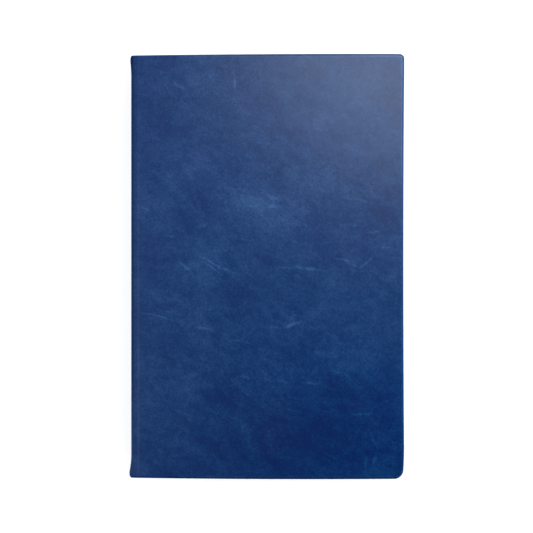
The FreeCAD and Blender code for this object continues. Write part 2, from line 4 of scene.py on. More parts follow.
import bmesh
import bpy
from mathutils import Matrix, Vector


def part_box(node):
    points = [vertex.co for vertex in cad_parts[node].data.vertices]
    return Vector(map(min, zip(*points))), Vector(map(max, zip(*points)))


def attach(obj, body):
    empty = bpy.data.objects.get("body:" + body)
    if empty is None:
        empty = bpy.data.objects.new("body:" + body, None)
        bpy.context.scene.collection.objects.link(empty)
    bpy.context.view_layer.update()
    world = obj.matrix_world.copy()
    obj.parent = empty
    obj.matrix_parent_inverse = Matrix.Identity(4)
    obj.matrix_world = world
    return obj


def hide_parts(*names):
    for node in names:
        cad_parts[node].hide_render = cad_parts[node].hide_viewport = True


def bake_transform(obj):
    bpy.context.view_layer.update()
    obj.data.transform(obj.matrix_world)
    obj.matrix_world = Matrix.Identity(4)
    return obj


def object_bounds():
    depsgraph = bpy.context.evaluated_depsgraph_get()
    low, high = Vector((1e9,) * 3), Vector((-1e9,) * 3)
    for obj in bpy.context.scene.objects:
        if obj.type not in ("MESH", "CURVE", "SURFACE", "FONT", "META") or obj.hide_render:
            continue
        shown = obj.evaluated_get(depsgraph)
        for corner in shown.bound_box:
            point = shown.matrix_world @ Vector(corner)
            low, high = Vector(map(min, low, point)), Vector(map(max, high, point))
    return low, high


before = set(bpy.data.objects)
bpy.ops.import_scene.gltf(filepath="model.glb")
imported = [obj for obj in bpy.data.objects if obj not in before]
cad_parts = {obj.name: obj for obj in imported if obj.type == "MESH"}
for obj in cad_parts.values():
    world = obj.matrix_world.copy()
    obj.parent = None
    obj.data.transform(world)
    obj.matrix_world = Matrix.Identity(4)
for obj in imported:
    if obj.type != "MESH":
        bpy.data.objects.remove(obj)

bl_info = {
    "name": "Pilot logbook",
    "version": (1, 0, 0),
    "blender": (4, 5, 0),
    "location": "3D View > Sidebar > Logbook",
    "description": "Models the leather case, papers and headbands of a sewn logbook",
    "category": "Object",
}

MM = 0.001
TINY = 0.00002
CAD_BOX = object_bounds()
CLOSED_PLACE = "closed_place"
SECTION_COUNT = 8
TURNING_LEAF_COUNT = 3

COVER_LOW, COVER_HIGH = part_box("front_cover_leather")
BACK_LOW, BACK_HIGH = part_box("back_cover_leather")
SPINE_LOW, SPINE_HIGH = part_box("spine_leather")
FRONT_SEAM_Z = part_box("front_joint_leather")[0].z
BACK_SEAM_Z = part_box("back_joint_leather")[1].z
SPINE_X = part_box("front_joint_leather")[0].x

# Places on the closed book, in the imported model's frame.
FORE_X = 71.8 * MM
HINGE_X = -69.6 * MM
HALF_HEIGHT = 111 * MM
SPINE_END = 110.26 * MM
BEAD_X, BEAD_Y = -68.15 * MM, 108.9 * MM
FLARE_END = 109.6 * MM

# Bows of a cover's edges: the middle of each, and twice its radius in metres.
HEAD_MIDDLE, HEAD_BOW = 44 * MM, 16.0
TAIL_MIDDLE, TAIL_BOW = 23 * MM, 11.4
FORE_MIDDLE, FORE_BOW = 71.31 * MM, 24.0
FORE_EASING = 0.7 * MM


# ---- sizes and colours ----


def length(name, default, description):
    """A size in metres."""
    return bpy.props.FloatProperty(name=name, description=description, default=default, unit="LENGTH")


def colour(name, default, description):
    """A colour in linear red, green and blue."""
    return bpy.props.FloatVectorProperty(
        name=name, description=description, default=default, subtype="COLOR", size=3,
    )


def portion(name, default, description, least=0.0):
    """A share of a whole."""
    return bpy.props.FloatProperty(
        name=name, description=description, default=default, subtype="FACTOR", min=least, max=1,
    )


def count(name, default, description, least):
    """A whole number of things."""
    return bpy.props.IntProperty(name=name, description=description, default=default, min=least)


def power(name, default, description):
    """A light's power in watts."""
    return bpy.props.FloatProperty(name=name, description=description, default=default, unit="POWER")


class LogbookCase(bpy.types.PropertyGroup):
    """Sizes and colours of the leather case."""

    leather: length("Leather", 0.9 * MM, "Thickness of the covering leather")
    pared_share: portion("Pared share", 0.34, "How much of the thickness is left where it is turned in")
    turn_in: length("Turn-in", 15 * MM, "Width of the leather turned in over the board")
    mitre_gap: length("Mitre gap", 0.25 * MM, "Gap between two turn-ins at a corner")
    outer_roll: length("Outer roll", 1.2 * MM, "Radius of the leather over the outside rim of a board")
    inner_roll: length("Inner roll", 0.5 * MM, "Radius of the leather over the inside rim of a board")
    head_corner: length("Head corner", 2.4 * MM, "Radius of the corner at the head")
    tail_corner: length("Tail corner", 4.4 * MM, "Radius of the corner at the tail")
    end_corner: length("End corner", 1.7 * MM, "How far the corners at each end of the spine are rounded")
    shoulder: length("Shoulder", 1.5 * MM, "Radius of the leather where it leaves the spine")
    board_bend: length("Board bend", 0.8 * MM, "Size of the bend where the joint meets the board")
    joint_slope: bpy.props.FloatProperty(
        name="Joint slope", description="Slope of the leather between spine and board",
        default=math.radians(20), subtype="ANGLE",
    )
    flare_start: length("Flare start", 99.5 * MM, "Height at which the spine's ends begin to lean out")
    head_flare: length("Head flare", 0.5 * MM, "How far the head of the spine leans out")
    tail_flare: length("Tail flare", 1.0 * MM, "How far the tail of the spine leans out")
    unevenness: length("Unevenness", 0.11 * MM, "Height of the soft waves in the covers")
    spine_unevenness: length("Spine unevenness", 0.12 * MM, "Height of the soft waves in the spine")
    deep: colour("Deep", (0.0, 0.0130, 0.084), "Colour where the wax lies thick")
    navy: colour("Navy", (0.0014, 0.0260, 0.113), "Main colour of the leather")
    pulled: colour("Pulled", (0.0092, 0.0415, 0.144), "Paler colour where the leather was stretched")
    creased: colour("Creased", (0.027, 0.080, 0.215), "Colour of the fine pale creases")
    # Painted shade: a darker colour for the rolled rims and the spine's shoulder, where they turn away
    # from the light.
    rim: colour("Rim", (0.002, 0.0160, 0.066), "Colour of the rolled rims and of the spine's shoulder")
    # Painted light: a brighter blue for the rolled rim at the fore-edge, where light falls on it from the
    # right.
    lit_fore_rim: colour("Fore-edge rim", (0.003, 0.046, 0.165), "Colour of the rolled rim at the fore-edge")


class LogbookPaper(bpy.types.PropertyGroup):
    """Sizes and colours of the papers."""

    sheet: length("Sheet", 0.084 * MM, "Thickness of one log sheet")
    sheets: count("Sheets", 8, "Folded sheets in one section", 1)
    trim: length("Trim", 0.05 * MM, "How unevenly the fore-edge is trimmed")
    arch: length("Arch", 4.8 * MM, "Width at the fold in which a turned leaf curves")
    leaf_corner: length("Leaf corner", 0.8 * MM, "Radius of the corners of a leaf")
    endpaper_sheet: length("Endpaper sheet", 0.14 * MM, "Thickness of a pasted endpaper")
    sink: length("Sink", 0.3 * MM, "How far a pasted endpaper sinks between the turn-ins")
    rows: count("Rows", 24, "Ruled rows on a log page", 4)
    log_paper: colour("Log paper", (0.72, 0.70, 0.61), "Colour of the log sheets")
    # Painted shade in the gaps between the sheets at the trimmed edges.
    trimmed: colour("Trimmed", (0.44, 0.41, 0.33), "Colour between the sheets at the trimmed edges")
    ruling: colour("Ruling", (0.10, 0.22, 0.34), "Colour of the ruled lines")
    wash: colour("Wash", (0.42, 0.60, 0.66), "Colour behind the heading and the totals")
    endpaper: colour("Endpaper", (0.62, 0.58, 0.49), "Colour of the endpapers")


class LogbookBand(bpy.types.PropertyGroup):
    """Sizes and colours of the headbands."""

    bead: length("Bead", 0.95 * MM, "Radius of the bead of a headband")
    tape: length("Tape", 0.3 * MM, "Thickness of the tape behind a headband")
    wraps: count("Wraps", 26, "Turns of silk along one headband", 4)
    groove: portion("Groove", 0.86, "How far the bead narrows between two turns", 0.5)
    silk_dark: colour("Dark silk", (0.010, 0.035, 0.13), "Colour of the dark stripes")
    silk_pale: colour("Pale silk", (0.72, 0.68, 0.56), "Colour of the pale stripes")


class LogbookStage(bpy.types.PropertyGroup):
    """Floor, lights and camera."""

    view_width: length("View width", 277.9 * MM, "Width seen at the top of the closed book")
    camera_height: length("Camera height", 1.6, "Height of the camera above the floor")
    view_centre: bpy.props.FloatVectorProperty(
        name="View centre", description="Point that the camera looks straight down at",
        default=(-0.15 * MM, 0.02 * MM, 0), size=3, unit="LENGTH",
    )
    floor: colour("Floor", (0.62, 0.62, 0.62), "Colour of the floor")
    floor_glow: bpy.props.FloatProperty(
        name="Floor glow", description="Light given off by the floor, as by a lit table",
        default=0.62, min=0,
    )
    key_power: power("Key power", 0.495, "Power of the near light at the upper right")
    soft_power: power("Soft power", 0.84, "Power of the near light at the left")
    fill_power: power("Fill power", 8.9, "Power of each far light at the sides")


# ---- modelling helpers ----


def stop_editing():
    """Leaves edit mode and deselects everything."""
    if bpy.context.mode != "OBJECT":
        bpy.ops.object.mode_set(mode="OBJECT")
    bpy.ops.object.select_all(action="DESELECT")


def choose(piece):
    """Makes one piece the only selected one."""
    stop_editing()
    piece.select_set(True)
    bpy.context.view_layer.objects.active = piece


def open_for_editing(piece):
    """Opens one piece in edit mode with nothing in it selected."""
    choose(piece)
    bpy.ops.object.mode_set(mode="EDIT")
    bpy.ops.mesh.select_all(action="DESELECT")


def select_whole():
    """Selects all of the open piece."""
    bpy.ops.mesh.select_all(action="SELECT")


def rename(piece, name):
    """Gives a piece and its mesh one name."""
    piece.name = piece.data.name = name


def settle(name):
    """Names the new primitive, puts its place in its mesh and opens it."""
    piece = bpy.context.object
    rename(piece, name)
    bpy.ops.object.transform_apply(location=True, rotation=True, scale=True)
    open_for_editing(piece)
    return piece


def start_block(name, low, high):
    """Adds a block between two corners."""
    stop_editing()
    low, high = Vector(low), Vector(high)
    bpy.ops.mesh.primitive_cube_add(size=1, location=(low + high) / 2, scale=high - low)
    return settle(name)


def start_sheet(name, low, high):
    """Adds a flat sheet between two corners of a level or an upright plane."""
    stop_editing()
    low, high = Vector(low), Vector(high)
    size = high - low
    upright = size.x < TINY
    bpy.ops.mesh.primitive_plane_add(
        size=1, location=(low + high) / 2, rotation=(0, -math.pi / 2 if upright else 0, 0),
    )
    bpy.context.object.scale = (size.z if upright else size.x, size.y, 1)
    return settle(name)


def middle(part):
    """Middle of a vertex, an edge or a face."""
    if isinstance(part, bmesh.types.BMVert):
        return part.co
    if isinstance(part, bmesh.types.BMEdge):
        return (part.verts[0].co + part.verts[1].co) / 2
    return part.calc_center_median()


def runs(edge, axis):
    """Whether an edge lies along an axis."""
    way = (edge.verts[1].co - edge.verts[0].co).normalized()
    return abs(way[axis]) > 0.95


def pick(kind, wanted):
    """Selects what the test accepts of the open piece, and nothing else. Returns how many."""
    bpy.ops.mesh.select_mode(type=kind)
    bpy.ops.mesh.select_all(action="DESELECT")
    mesh = bpy.context.edit_object.data
    shape = bmesh.from_edit_mesh(mesh)
    shape.normal_update()
    parts = {"VERT": shape.verts, "EDGE": shape.edges, "FACE": shape.faces}[kind]
    found = [part for part in parts if wanted(part)]
    for part in found:
        part.select_set(True)
    bmesh.update_edit_mesh(mesh)
    return len(found)


def must_pick(kind, wanted, what):
    """Picks, and raises an error where nothing is found."""
    if not pick(kind, wanted):
        raise RuntimeError(f"nothing found for {what}")


def remove_faces(wanted, what):
    """Deletes the faces that the test accepts."""
    must_pick("FACE", wanted, what)
    bpy.ops.mesh.delete(type="FACE")


def round_edges(wanted, what, radius, segments, clamped=True):
    """Bevels the edges that the test accepts."""
    must_pick("EDGE", wanted, what)
    bpy.ops.mesh.bevel(offset=radius, segments=segments, affect="EDGES", clamp_overlap=clamped)


def cut_along(axis, cuts):
    """Divides every edge that lies along an axis."""
    must_pick("EDGE", lambda edge: runs(edge, axis), "the edges to divide")
    bpy.ops.mesh.subdivide(number_cuts=cuts)


def cut_across(x=None, y=None):
    """Cuts the whole piece at one place along X or Y."""
    select_whole()
    if y is None:
        bpy.ops.mesh.bisect(plane_co=(x, 0, 0), plane_no=(1, 0, 0))
    else:
        bpy.ops.mesh.bisect(plane_co=(0, y, 0), plane_no=(0, 1, 0))


def shift(x=0.0, y=0.0, z=0.0):
    """Moves the selection."""
    bpy.ops.transform.translate(value=(x, y, z))


def pull_edges(x=0.0, y=0.0, z=0.0):
    """Extrudes the selected edges."""
    bpy.ops.mesh.extrude_edges_move(TRANSFORM_OT_translate={"value": (x, y, z)})


def pull_along(points):
    """Extrudes the selected edges through a row of points, given as differences from the first."""
    for before, after in zip(points, points[1:]):
        pull_edges(*(Vector(after) - Vector(before)))


def apply_modifier(piece, kind, **settings):
    """Adds a modifier to a piece and applies it."""
    choose(piece)
    modifier = piece.modifiers.new(kind.title(), kind)
    for name, value in settings.items():
        setattr(modifier, name, value)
    bpy.ops.object.modifier_apply(modifier=modifier.name)


def weigh(piece, name, weight_of):
    """Gives a piece a vertex group whose weights come from each point's place."""
    group = piece.vertex_groups.new(name=name)
    for vertex in piece.data.vertices:
        group.add([vertex.index], float(weight_of(vertex.co)), "REPLACE")
    return name


def displace(piece, name, weight_of, strength, mid_level=0, **settings):
    """Moves each point of a piece as far as its weight says."""
    group = weigh(piece, name, weight_of)
    apply_modifier(
        piece, "DISPLACE", vertex_group=group, strength=strength, mid_level=mid_level, **settings,
    )


def add_waves(piece, size, height, outside):
    """Raises and lowers the places that the test accepts in soft waves."""
    waves = bpy.data.textures.new(f"{piece.name}_waves", "CLOUDS")
    waves.noise_scale = size
    displace(piece, "outside", outside, height, 0.5, texture=waves, texture_coords="LOCAL")


def face_outwards():
    """Turns every face of the open piece outwards."""
    select_whole()
    bpy.ops.mesh.normals_make_consistent(inside=False)


def flip_if(piece, sample, wanted):
    """Flips the piece when the face nearest to a sample point looks away from the wanted way."""
    stop_editing()
    near = min(piece.data.polygons, key=lambda face: (face.center - Vector(sample)).length)
    if near.normal.dot(Vector(wanted)) < 0:
        open_for_editing(piece)
        select_whole()
        bpy.ops.mesh.flip_normals()
        stop_editing()


def join(pieces):
    """Joins pieces into the first of them."""
    choose(pieces[0])
    for piece in pieces:
        piece.select_set(True)
    bpy.ops.object.join()
    return bpy.context.object


def smooth(piece, degrees):
    """Shades a piece smooth except at its sharp edges."""
    choose(piece)
    bpy.ops.object.shade_smooth_by_angle(angle=math.radians(degrees))


def keep_places(piece):
    """Stores each point's place on the closed book, for finishes on a piece that bends."""
    stored = piece.data.attributes.new(CLOSED_PLACE, "FLOAT_VECTOR", "POINT")
    for row, vertex in zip(stored.data, piece.data.vertices):
        row.vector = vertex.co


def coat(piece, material):
    """Makes a material the only one of a piece."""
    piece.data.materials.clear()
    piece.data.materials.append(material)


def finish_piece(piece, material, slot, *nodes):
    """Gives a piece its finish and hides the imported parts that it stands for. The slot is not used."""
    stop_editing()
    coat(piece, material)
    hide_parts(*nodes)


# ---- outline of a cover ----


def squared(value):
    """The square of a number or of a wire."""
    return value * value


def head_arc(x):
    """Height of the head edge of a cover at a place along it."""
    return HALF_HEIGHT - squared(x - HEAD_MIDDLE) / HEAD_BOW


def tail_arc(x):
    """Height of the tail edge of a cover at a place along it."""
    return squared(x - TAIL_MIDDLE) / TAIL_BOW - HALF_HEIGHT


def fore_bow(y):
    """Place of the fore-edge of a cover at a height, away from its corners."""
    return squared(y) / FORE_BOW + FORE_MIDDLE


def fore_arc(y):
    """Place of the fore-edge of a cover at a height. It eases in towards the tail corner."""
    return fore_bow(y) - FORE_EASING * eased_share(-y, 97 * MM, 112 * MM)


def eased_share(value, start, end):
    """Runs smoothly from 0 at the start to 1 at the end."""
    share = min(1, max(0, (value - start) / (end - start)))
    return share * share * (3 - 2 * share)


# ---- finishes ----


class Wire:
    """A socket in a finish's node tree. Arithmetic on it adds Math nodes."""

    def __init__(self, tree, socket=None):
        self.tree = tree
        self.socket = socket

    def node(self, kind, settings=None, inputs=None, output=0):
        """Adds a node, gives it its settings and then its inputs, and returns one output."""
        made = self.tree.nodes.new(kind)
        for name, value in (settings or {}).items():
            if name == "stops":
                set_stops(made.color_ramp, value)
            else:
                setattr(made, name, value)
        for name, value in (inputs or {}).items():
            feed(self.tree, made.inputs[name], value)
        return Wire(self.tree, made.outputs[output])

    def maths(self, operation, *values):
        """Adds a Math node."""
        return self.node("ShaderNodeMath", {"operation": operation}, dict(enumerate(values)))

    def vectors(self, operation, *values):
        """Adds a Vector Math node."""
        return self.node("ShaderNodeVectorMath", {"operation": operation}, dict(enumerate(values)))

    def __add__(self, other):
        return self.maths("ADD", self, other)

    def __radd__(self, other):
        return self.maths("ADD", other, self)

    def __sub__(self, other):
        return self.maths("SUBTRACT", self, other)

    def __rsub__(self, other):
        return self.maths("SUBTRACT", other, self)

    def __mul__(self, other):
        return self.maths("MULTIPLY", self, other)

    def __rmul__(self, other):
        return self.maths("MULTIPLY", other, self)

    def __truediv__(self, other):
        return self.maths("DIVIDE", self, other)

    def __abs__(self):
        return self.maths("ABSOLUTE", self)

    def larger(self, other):
        return self.maths("MAXIMUM", self, other)

    def smaller(self, other):
        return self.maths("MINIMUM", self, other)

    def above(self, level):
        """1 where this is above a level, 0 elsewhere."""
        return self.maths("GREATER_THAN", self, level)

    def repeated(self, spacing):
        """Distance to the nearest multiple of a spacing, counted in spacings."""
        return self.maths("PINGPONG", self / spacing, 0.5)

    def eased(self, low, high, start=0.0, end=1.0):
        """Runs smoothly from start at low to end at high."""
        return self.node(
            "ShaderNodeMapRange", {"interpolation_type": "SMOOTHSTEP"},
            {"Value": self, "From Min": low, "From Max": high, "To Min": start, "To Max": end},
        )

    def faded(self, low, high):
        """Runs smoothly from 1 at low to 0 at high."""
        return self.eased(low, high, 1.0, 0.0)

    def part(self, axis):
        """One coordinate of a vector."""
        return self.node("ShaderNodeSeparateXYZ", None, {0: self}, axis)

    def placed(self, at=(0, 0, 0), degrees=0.0, size=(1, 1, 1)):
        """Coordinates seen from a place, turned in the plane of the cover, and counted in a size."""
        return self.node(
            "ShaderNodeMapping", {"vector_type": "TEXTURE"},
            {"Vector": self, "Location": at, "Rotation": (0, 0, math.radians(degrees)), "Scale": size},
        )

    def noise(self, feature, detail=2.0, roughness=0.5, distortion=0.0, output=0):
        """Soft noise whose patches are about as large as the feature, in metres."""
        return self.node(
            "ShaderNodeTexNoise", None,
            {"Vector": self, "Scale": 1 / feature, "Detail": detail,
             "Roughness": roughness, "Distortion": distortion}, output,
        )

    def bands(self, direction, scale, distortion, detail_scale=1.0):
        """Soft bands that follow each other along a direction."""
        return self.node(
            "ShaderNodeTexWave", {"wave_type": "BANDS", "bands_direction": direction},
            {"Vector": self, "Scale": scale, "Distortion": distortion, "Detail": 1.0,
             "Detail Scale": detail_scale}, 1,
        )

    def drifted(self, feature, reach):
        """The same place pushed about by soft noise."""
        centred = self.vectors("SUBTRACT", self.noise(feature, output=1), (0.5, 0.5, 0.5))
        return self.vectors("MULTIPLY_ADD", centred, (reach, reach, reach), self)

    def coloured(self, low, high):
        """Mixes two colours by this value."""
        return self.node("ShaderNodeMix", {"data_type": "RGBA"}, {0: self, 6: low, 7: high}, 2)

    def mixed(self, share, other, kind="MIX"):
        """This colour with a share of another."""
        return self.node(
            "ShaderNodeMix", {"data_type": "RGBA", "blend_type": kind}, {0: share, 6: self, 7: other}, 2,
        )

    def ramped(self, *stops):
        """A colour from a ramp."""
        return self.node("ShaderNodeValToRGB", {"stops": stops}, {0: self})


def feed(tree, socket, value):
    """Links or sets one input. A colour gets its alpha."""
    if isinstance(value, Wire):
        tree.links.new(value.socket, socket)
    elif hasattr(value, "__len__") and len(value) == 3 and len(socket.default_value) == 4:
        socket.default_value = (*value, 1)
    else:
        socket.default_value = value


def set_stops(ramp, stops):
    """Gives a ramp its stops, each a place and a colour."""
    while len(ramp.elements) > 1:
        ramp.elements.remove(ramp.elements[-1])
    ramp.elements[0].position = stops[0][0]
    ramp.elements[0].color = (*stops[0][1], 1)
    for place, colour_there in stops[1:]:
        ramp.elements.new(place).color = (*colour_there, 1)


class Finish:
    """A new material with one shader, and the place that its pattern follows."""

    def __init__(self, name, bends=False, **constants):
        self.material = bpy.data.materials.new(name)
        self.material.use_nodes = True
        self.tree = self.material.node_tree
        self.shader = self.tree.nodes["Principled BSDF"]
        for socket, value in constants.items():
            self.give(socket.replace("_", " "), value)
        start = Wire(self.tree)
        if bends:
            self.place = start.node("ShaderNodeAttribute", {"attribute_name": CLOSED_PLACE}, output=1)
        else:
            self.place = start.node("ShaderNodeTexCoord", output=3)

    def give(self, socket, value):
        """Links or sets one input of the shader."""
        feed(self.tree, self.shader.inputs[socket], value)

    def matt_where(self, share, tone):
        """Takes the shine away where the share is 1."""
        matt = self.place.node(
            "ShaderNodeBsdfPrincipled", None,
            {"Base Color": tone, "Roughness": 1.0, "Specular IOR Level": 0.0},
        )
        glossy = Wire(self.tree, self.shader.outputs[0])
        both = self.place.node("ShaderNodeMixShader", None, {0: share, 1: glossy, 2: matt})
        self.tree.links.new(both.socket, self.tree.nodes["Material Output"].inputs["Surface"])

    def done(self, tone, height, strength, depth):
        """Gives the colour and a bump, from a height of 0 to 1 times a depth. Returns the material."""
        self.give("Base Color", tone)
        bump = self.place.node(
            "ShaderNodeBump", None, {"Height": height, "Strength": strength, "Distance": depth},
        )
        self.give("Normal", bump)
        return self.material


# Creases in the front cover: middle x, y, direction in degrees, half length, half width, strength.
CREASES = (
    (-25.9, 0.8, -26, 11.6, 1, 1.2),
    (-28.1, -0.7, -30, 6.5, 0.8, 0.8),
    (-22.3, 2.4, -20, 6.5, 0.8, 0.6),
    (-42.5, 0.5, -30, 4, 1, 1.1),
    (17.2, -1, -3, 16.5, 0.9, 1.1),
    (21.2, -0.5, -6, 7, 0.8, 0.9),
    (40.5, 3.2, -9, 7, 0.8, 1),
    (43.8, -2, -2, 9, 0.8, 0.9),
    (46, 0.6, -14, 6, 0.8, 0.6),
    (53.1, 2.8, 38, 8, 0.8, 0.9),
    (-57.8, -25.9, -13, 13, 0.9, 0.8),
    (-34.4, -31.9, -16, 14, 0.9, 0.8),
    (-59.9, -21.7, -12, 9, 0.8, 0.7),
    (-50.8, -23.2, 2, 6, 0.8, 0.7),
    (-63, -27.5, 6, 6, 0.8, 0.6),
    (-12.6, -39.3, -9, 10, 0.9, 0.7),
    (12.9, -30.4, 17, 6.5, 1, 1.2),
    (4.5, -31.5, -6, 6, 0.8, 0.5),
    (-33.8, 21.4, 20, 4, 1.3, 0.9),
    (-50.3, 16.2, -5, 4, 0.8, 0.6),
    (-50.3, 10, -8, 4, 0.8, 0.6),
    (-63.8, 30.1, -10, 6, 0.8, 0.6),
    (-11.6, 13.8, -10, 5.5, 1, 0.7),
    (-6.8, 31.8, 5, 5, 0.8, 0.7),
    (3.2, 35.5, -25, 11, 1.3, 0.6),
    (2.9, 31, -10, 3, 1.1, 0.9),
    (27.4, 40.9, -23, 12, 1, 0.6),
    (51.2, 33.6, -12, 14, 1, 0.6),
    (36.7, 50, -13, 10, 1, 0.5),
    (45.4, 21.6, -3, 9, 1, 0.6),
    (57.9, 18.7, 9, 9, 1, 0.7),
    (60.8, 10.4, 0, 8, 1, 0.6),
    (31.8, 12.3, 10, 7, 1, 0.5),
    (-17, 95.4, 92, 10, 1, 0.8),
    (-3.3, 98.3, 100, 7, 0.9, 0.5),
    (-46, 94.8, -35, 6, 0.9, 0.6),
    (38.6, 102, 70, 5, 0.8, 0.6),
    (48.3, -76.6, 5, 7.5, 1, 1),
    (56.4, -92, -65, 5, 1.2, 1.6),
    (56.6, -100, 80, 4.5, 1.1, 1.5),
    (51.6, -101.7, 84, 5, 1.1, 1.5),
    (33.2, -99.2, -28, 4.5, 1.1, 1.2),
    (22.6, -60.5, -4, 7, 1, 0.8),
    (9.6, -60.5, -5, 8, 1, 0.6),
    (-11.1, -57.3, -10, 5.5, 1, 0.6),
    (38.6, -56.3, -22, 6.5, 1, 0.6),
    (13.5, -75.2, -5, 6, 1, 0.5),
    (-46, -88, 75, 7, 1, 0.4),
)

# Broad cloudy places in the front cover, one of them a painted highlight and two painted shade: middle x,
# y, direction, half length, half width, strength.
CLOUDS = (
    (-33, 4, 15, 28, 17, 0.75),
    (-8, 30, -30, 36, 15, 0.75),
    (38, -14, 35, 26, 14, 0.25),
    (-46, -20, 10, 28, 15, 0.4),
    (-40, -58, 70, 30, 14, 0.3),
    (2, -40, 20, 22, 14, 0.15),
    (-52, 40, 60, 30, 16, 0.35),
    (14, 84, -55, 34, 12, 0.3),
    # Painted highlight: the pale place at the upper right.
    (52, 72, -20, 36, 24, 0.3),
    (-5, -12, 10, 20, 12, -0.1),
    (30, 46, -20, 20, 12, 0.3),
    (38, -2, 0, 16, 10, 0.25),
    (38, 62, 0, 16, 10, 0.2),
    (-33, 105, 0, 24, 11, -0.4),
    (66, 14, 90, 18, 9, -0.35),
    (10, -48, 0, 18, 11, -0.35),
    (-27, -64, 0, 15, 10, -0.35),
    # Painted shade: the two long dark places across the tail.
    (14, -102, 3, 80, 22, -0.45),
    (28, -84, 10, 60, 34, -0.8),
    (-56, 88, 80, 34, 18, -0.4),
    (4, 58, -40, 22, 10, -0.15),
    (62, -60, 90, 26, 12, -0.25),
)


def laid_out(place, rows):
    """Adds up long soft spots, each given by a row."""
    spots = []
    for x, y, degrees, length_mm, width_mm, strength in rows:
        near = place.placed((x * MM, y * MM, 0), degrees, (length_mm * MM, width_mm * MM, 1))
        spot = near.node("ShaderNodeTexGradient", {"gradient_type": "SPHERICAL"}, {0: near}, 1)
        spots.append(spot * strength)
    return sum(spots[1:], spots[0])


def rim_distances(across, along):
    """Distances in from the nearest edge of a cover, and in from its fore-edge."""
    ends = (head_arc(across) - along).smaller(along - tail_arc(across))
    fore = fore_bow(along) - across
    return ends.maths("SMOOTH_MIN", ends, fore, 2.5 * MM), fore


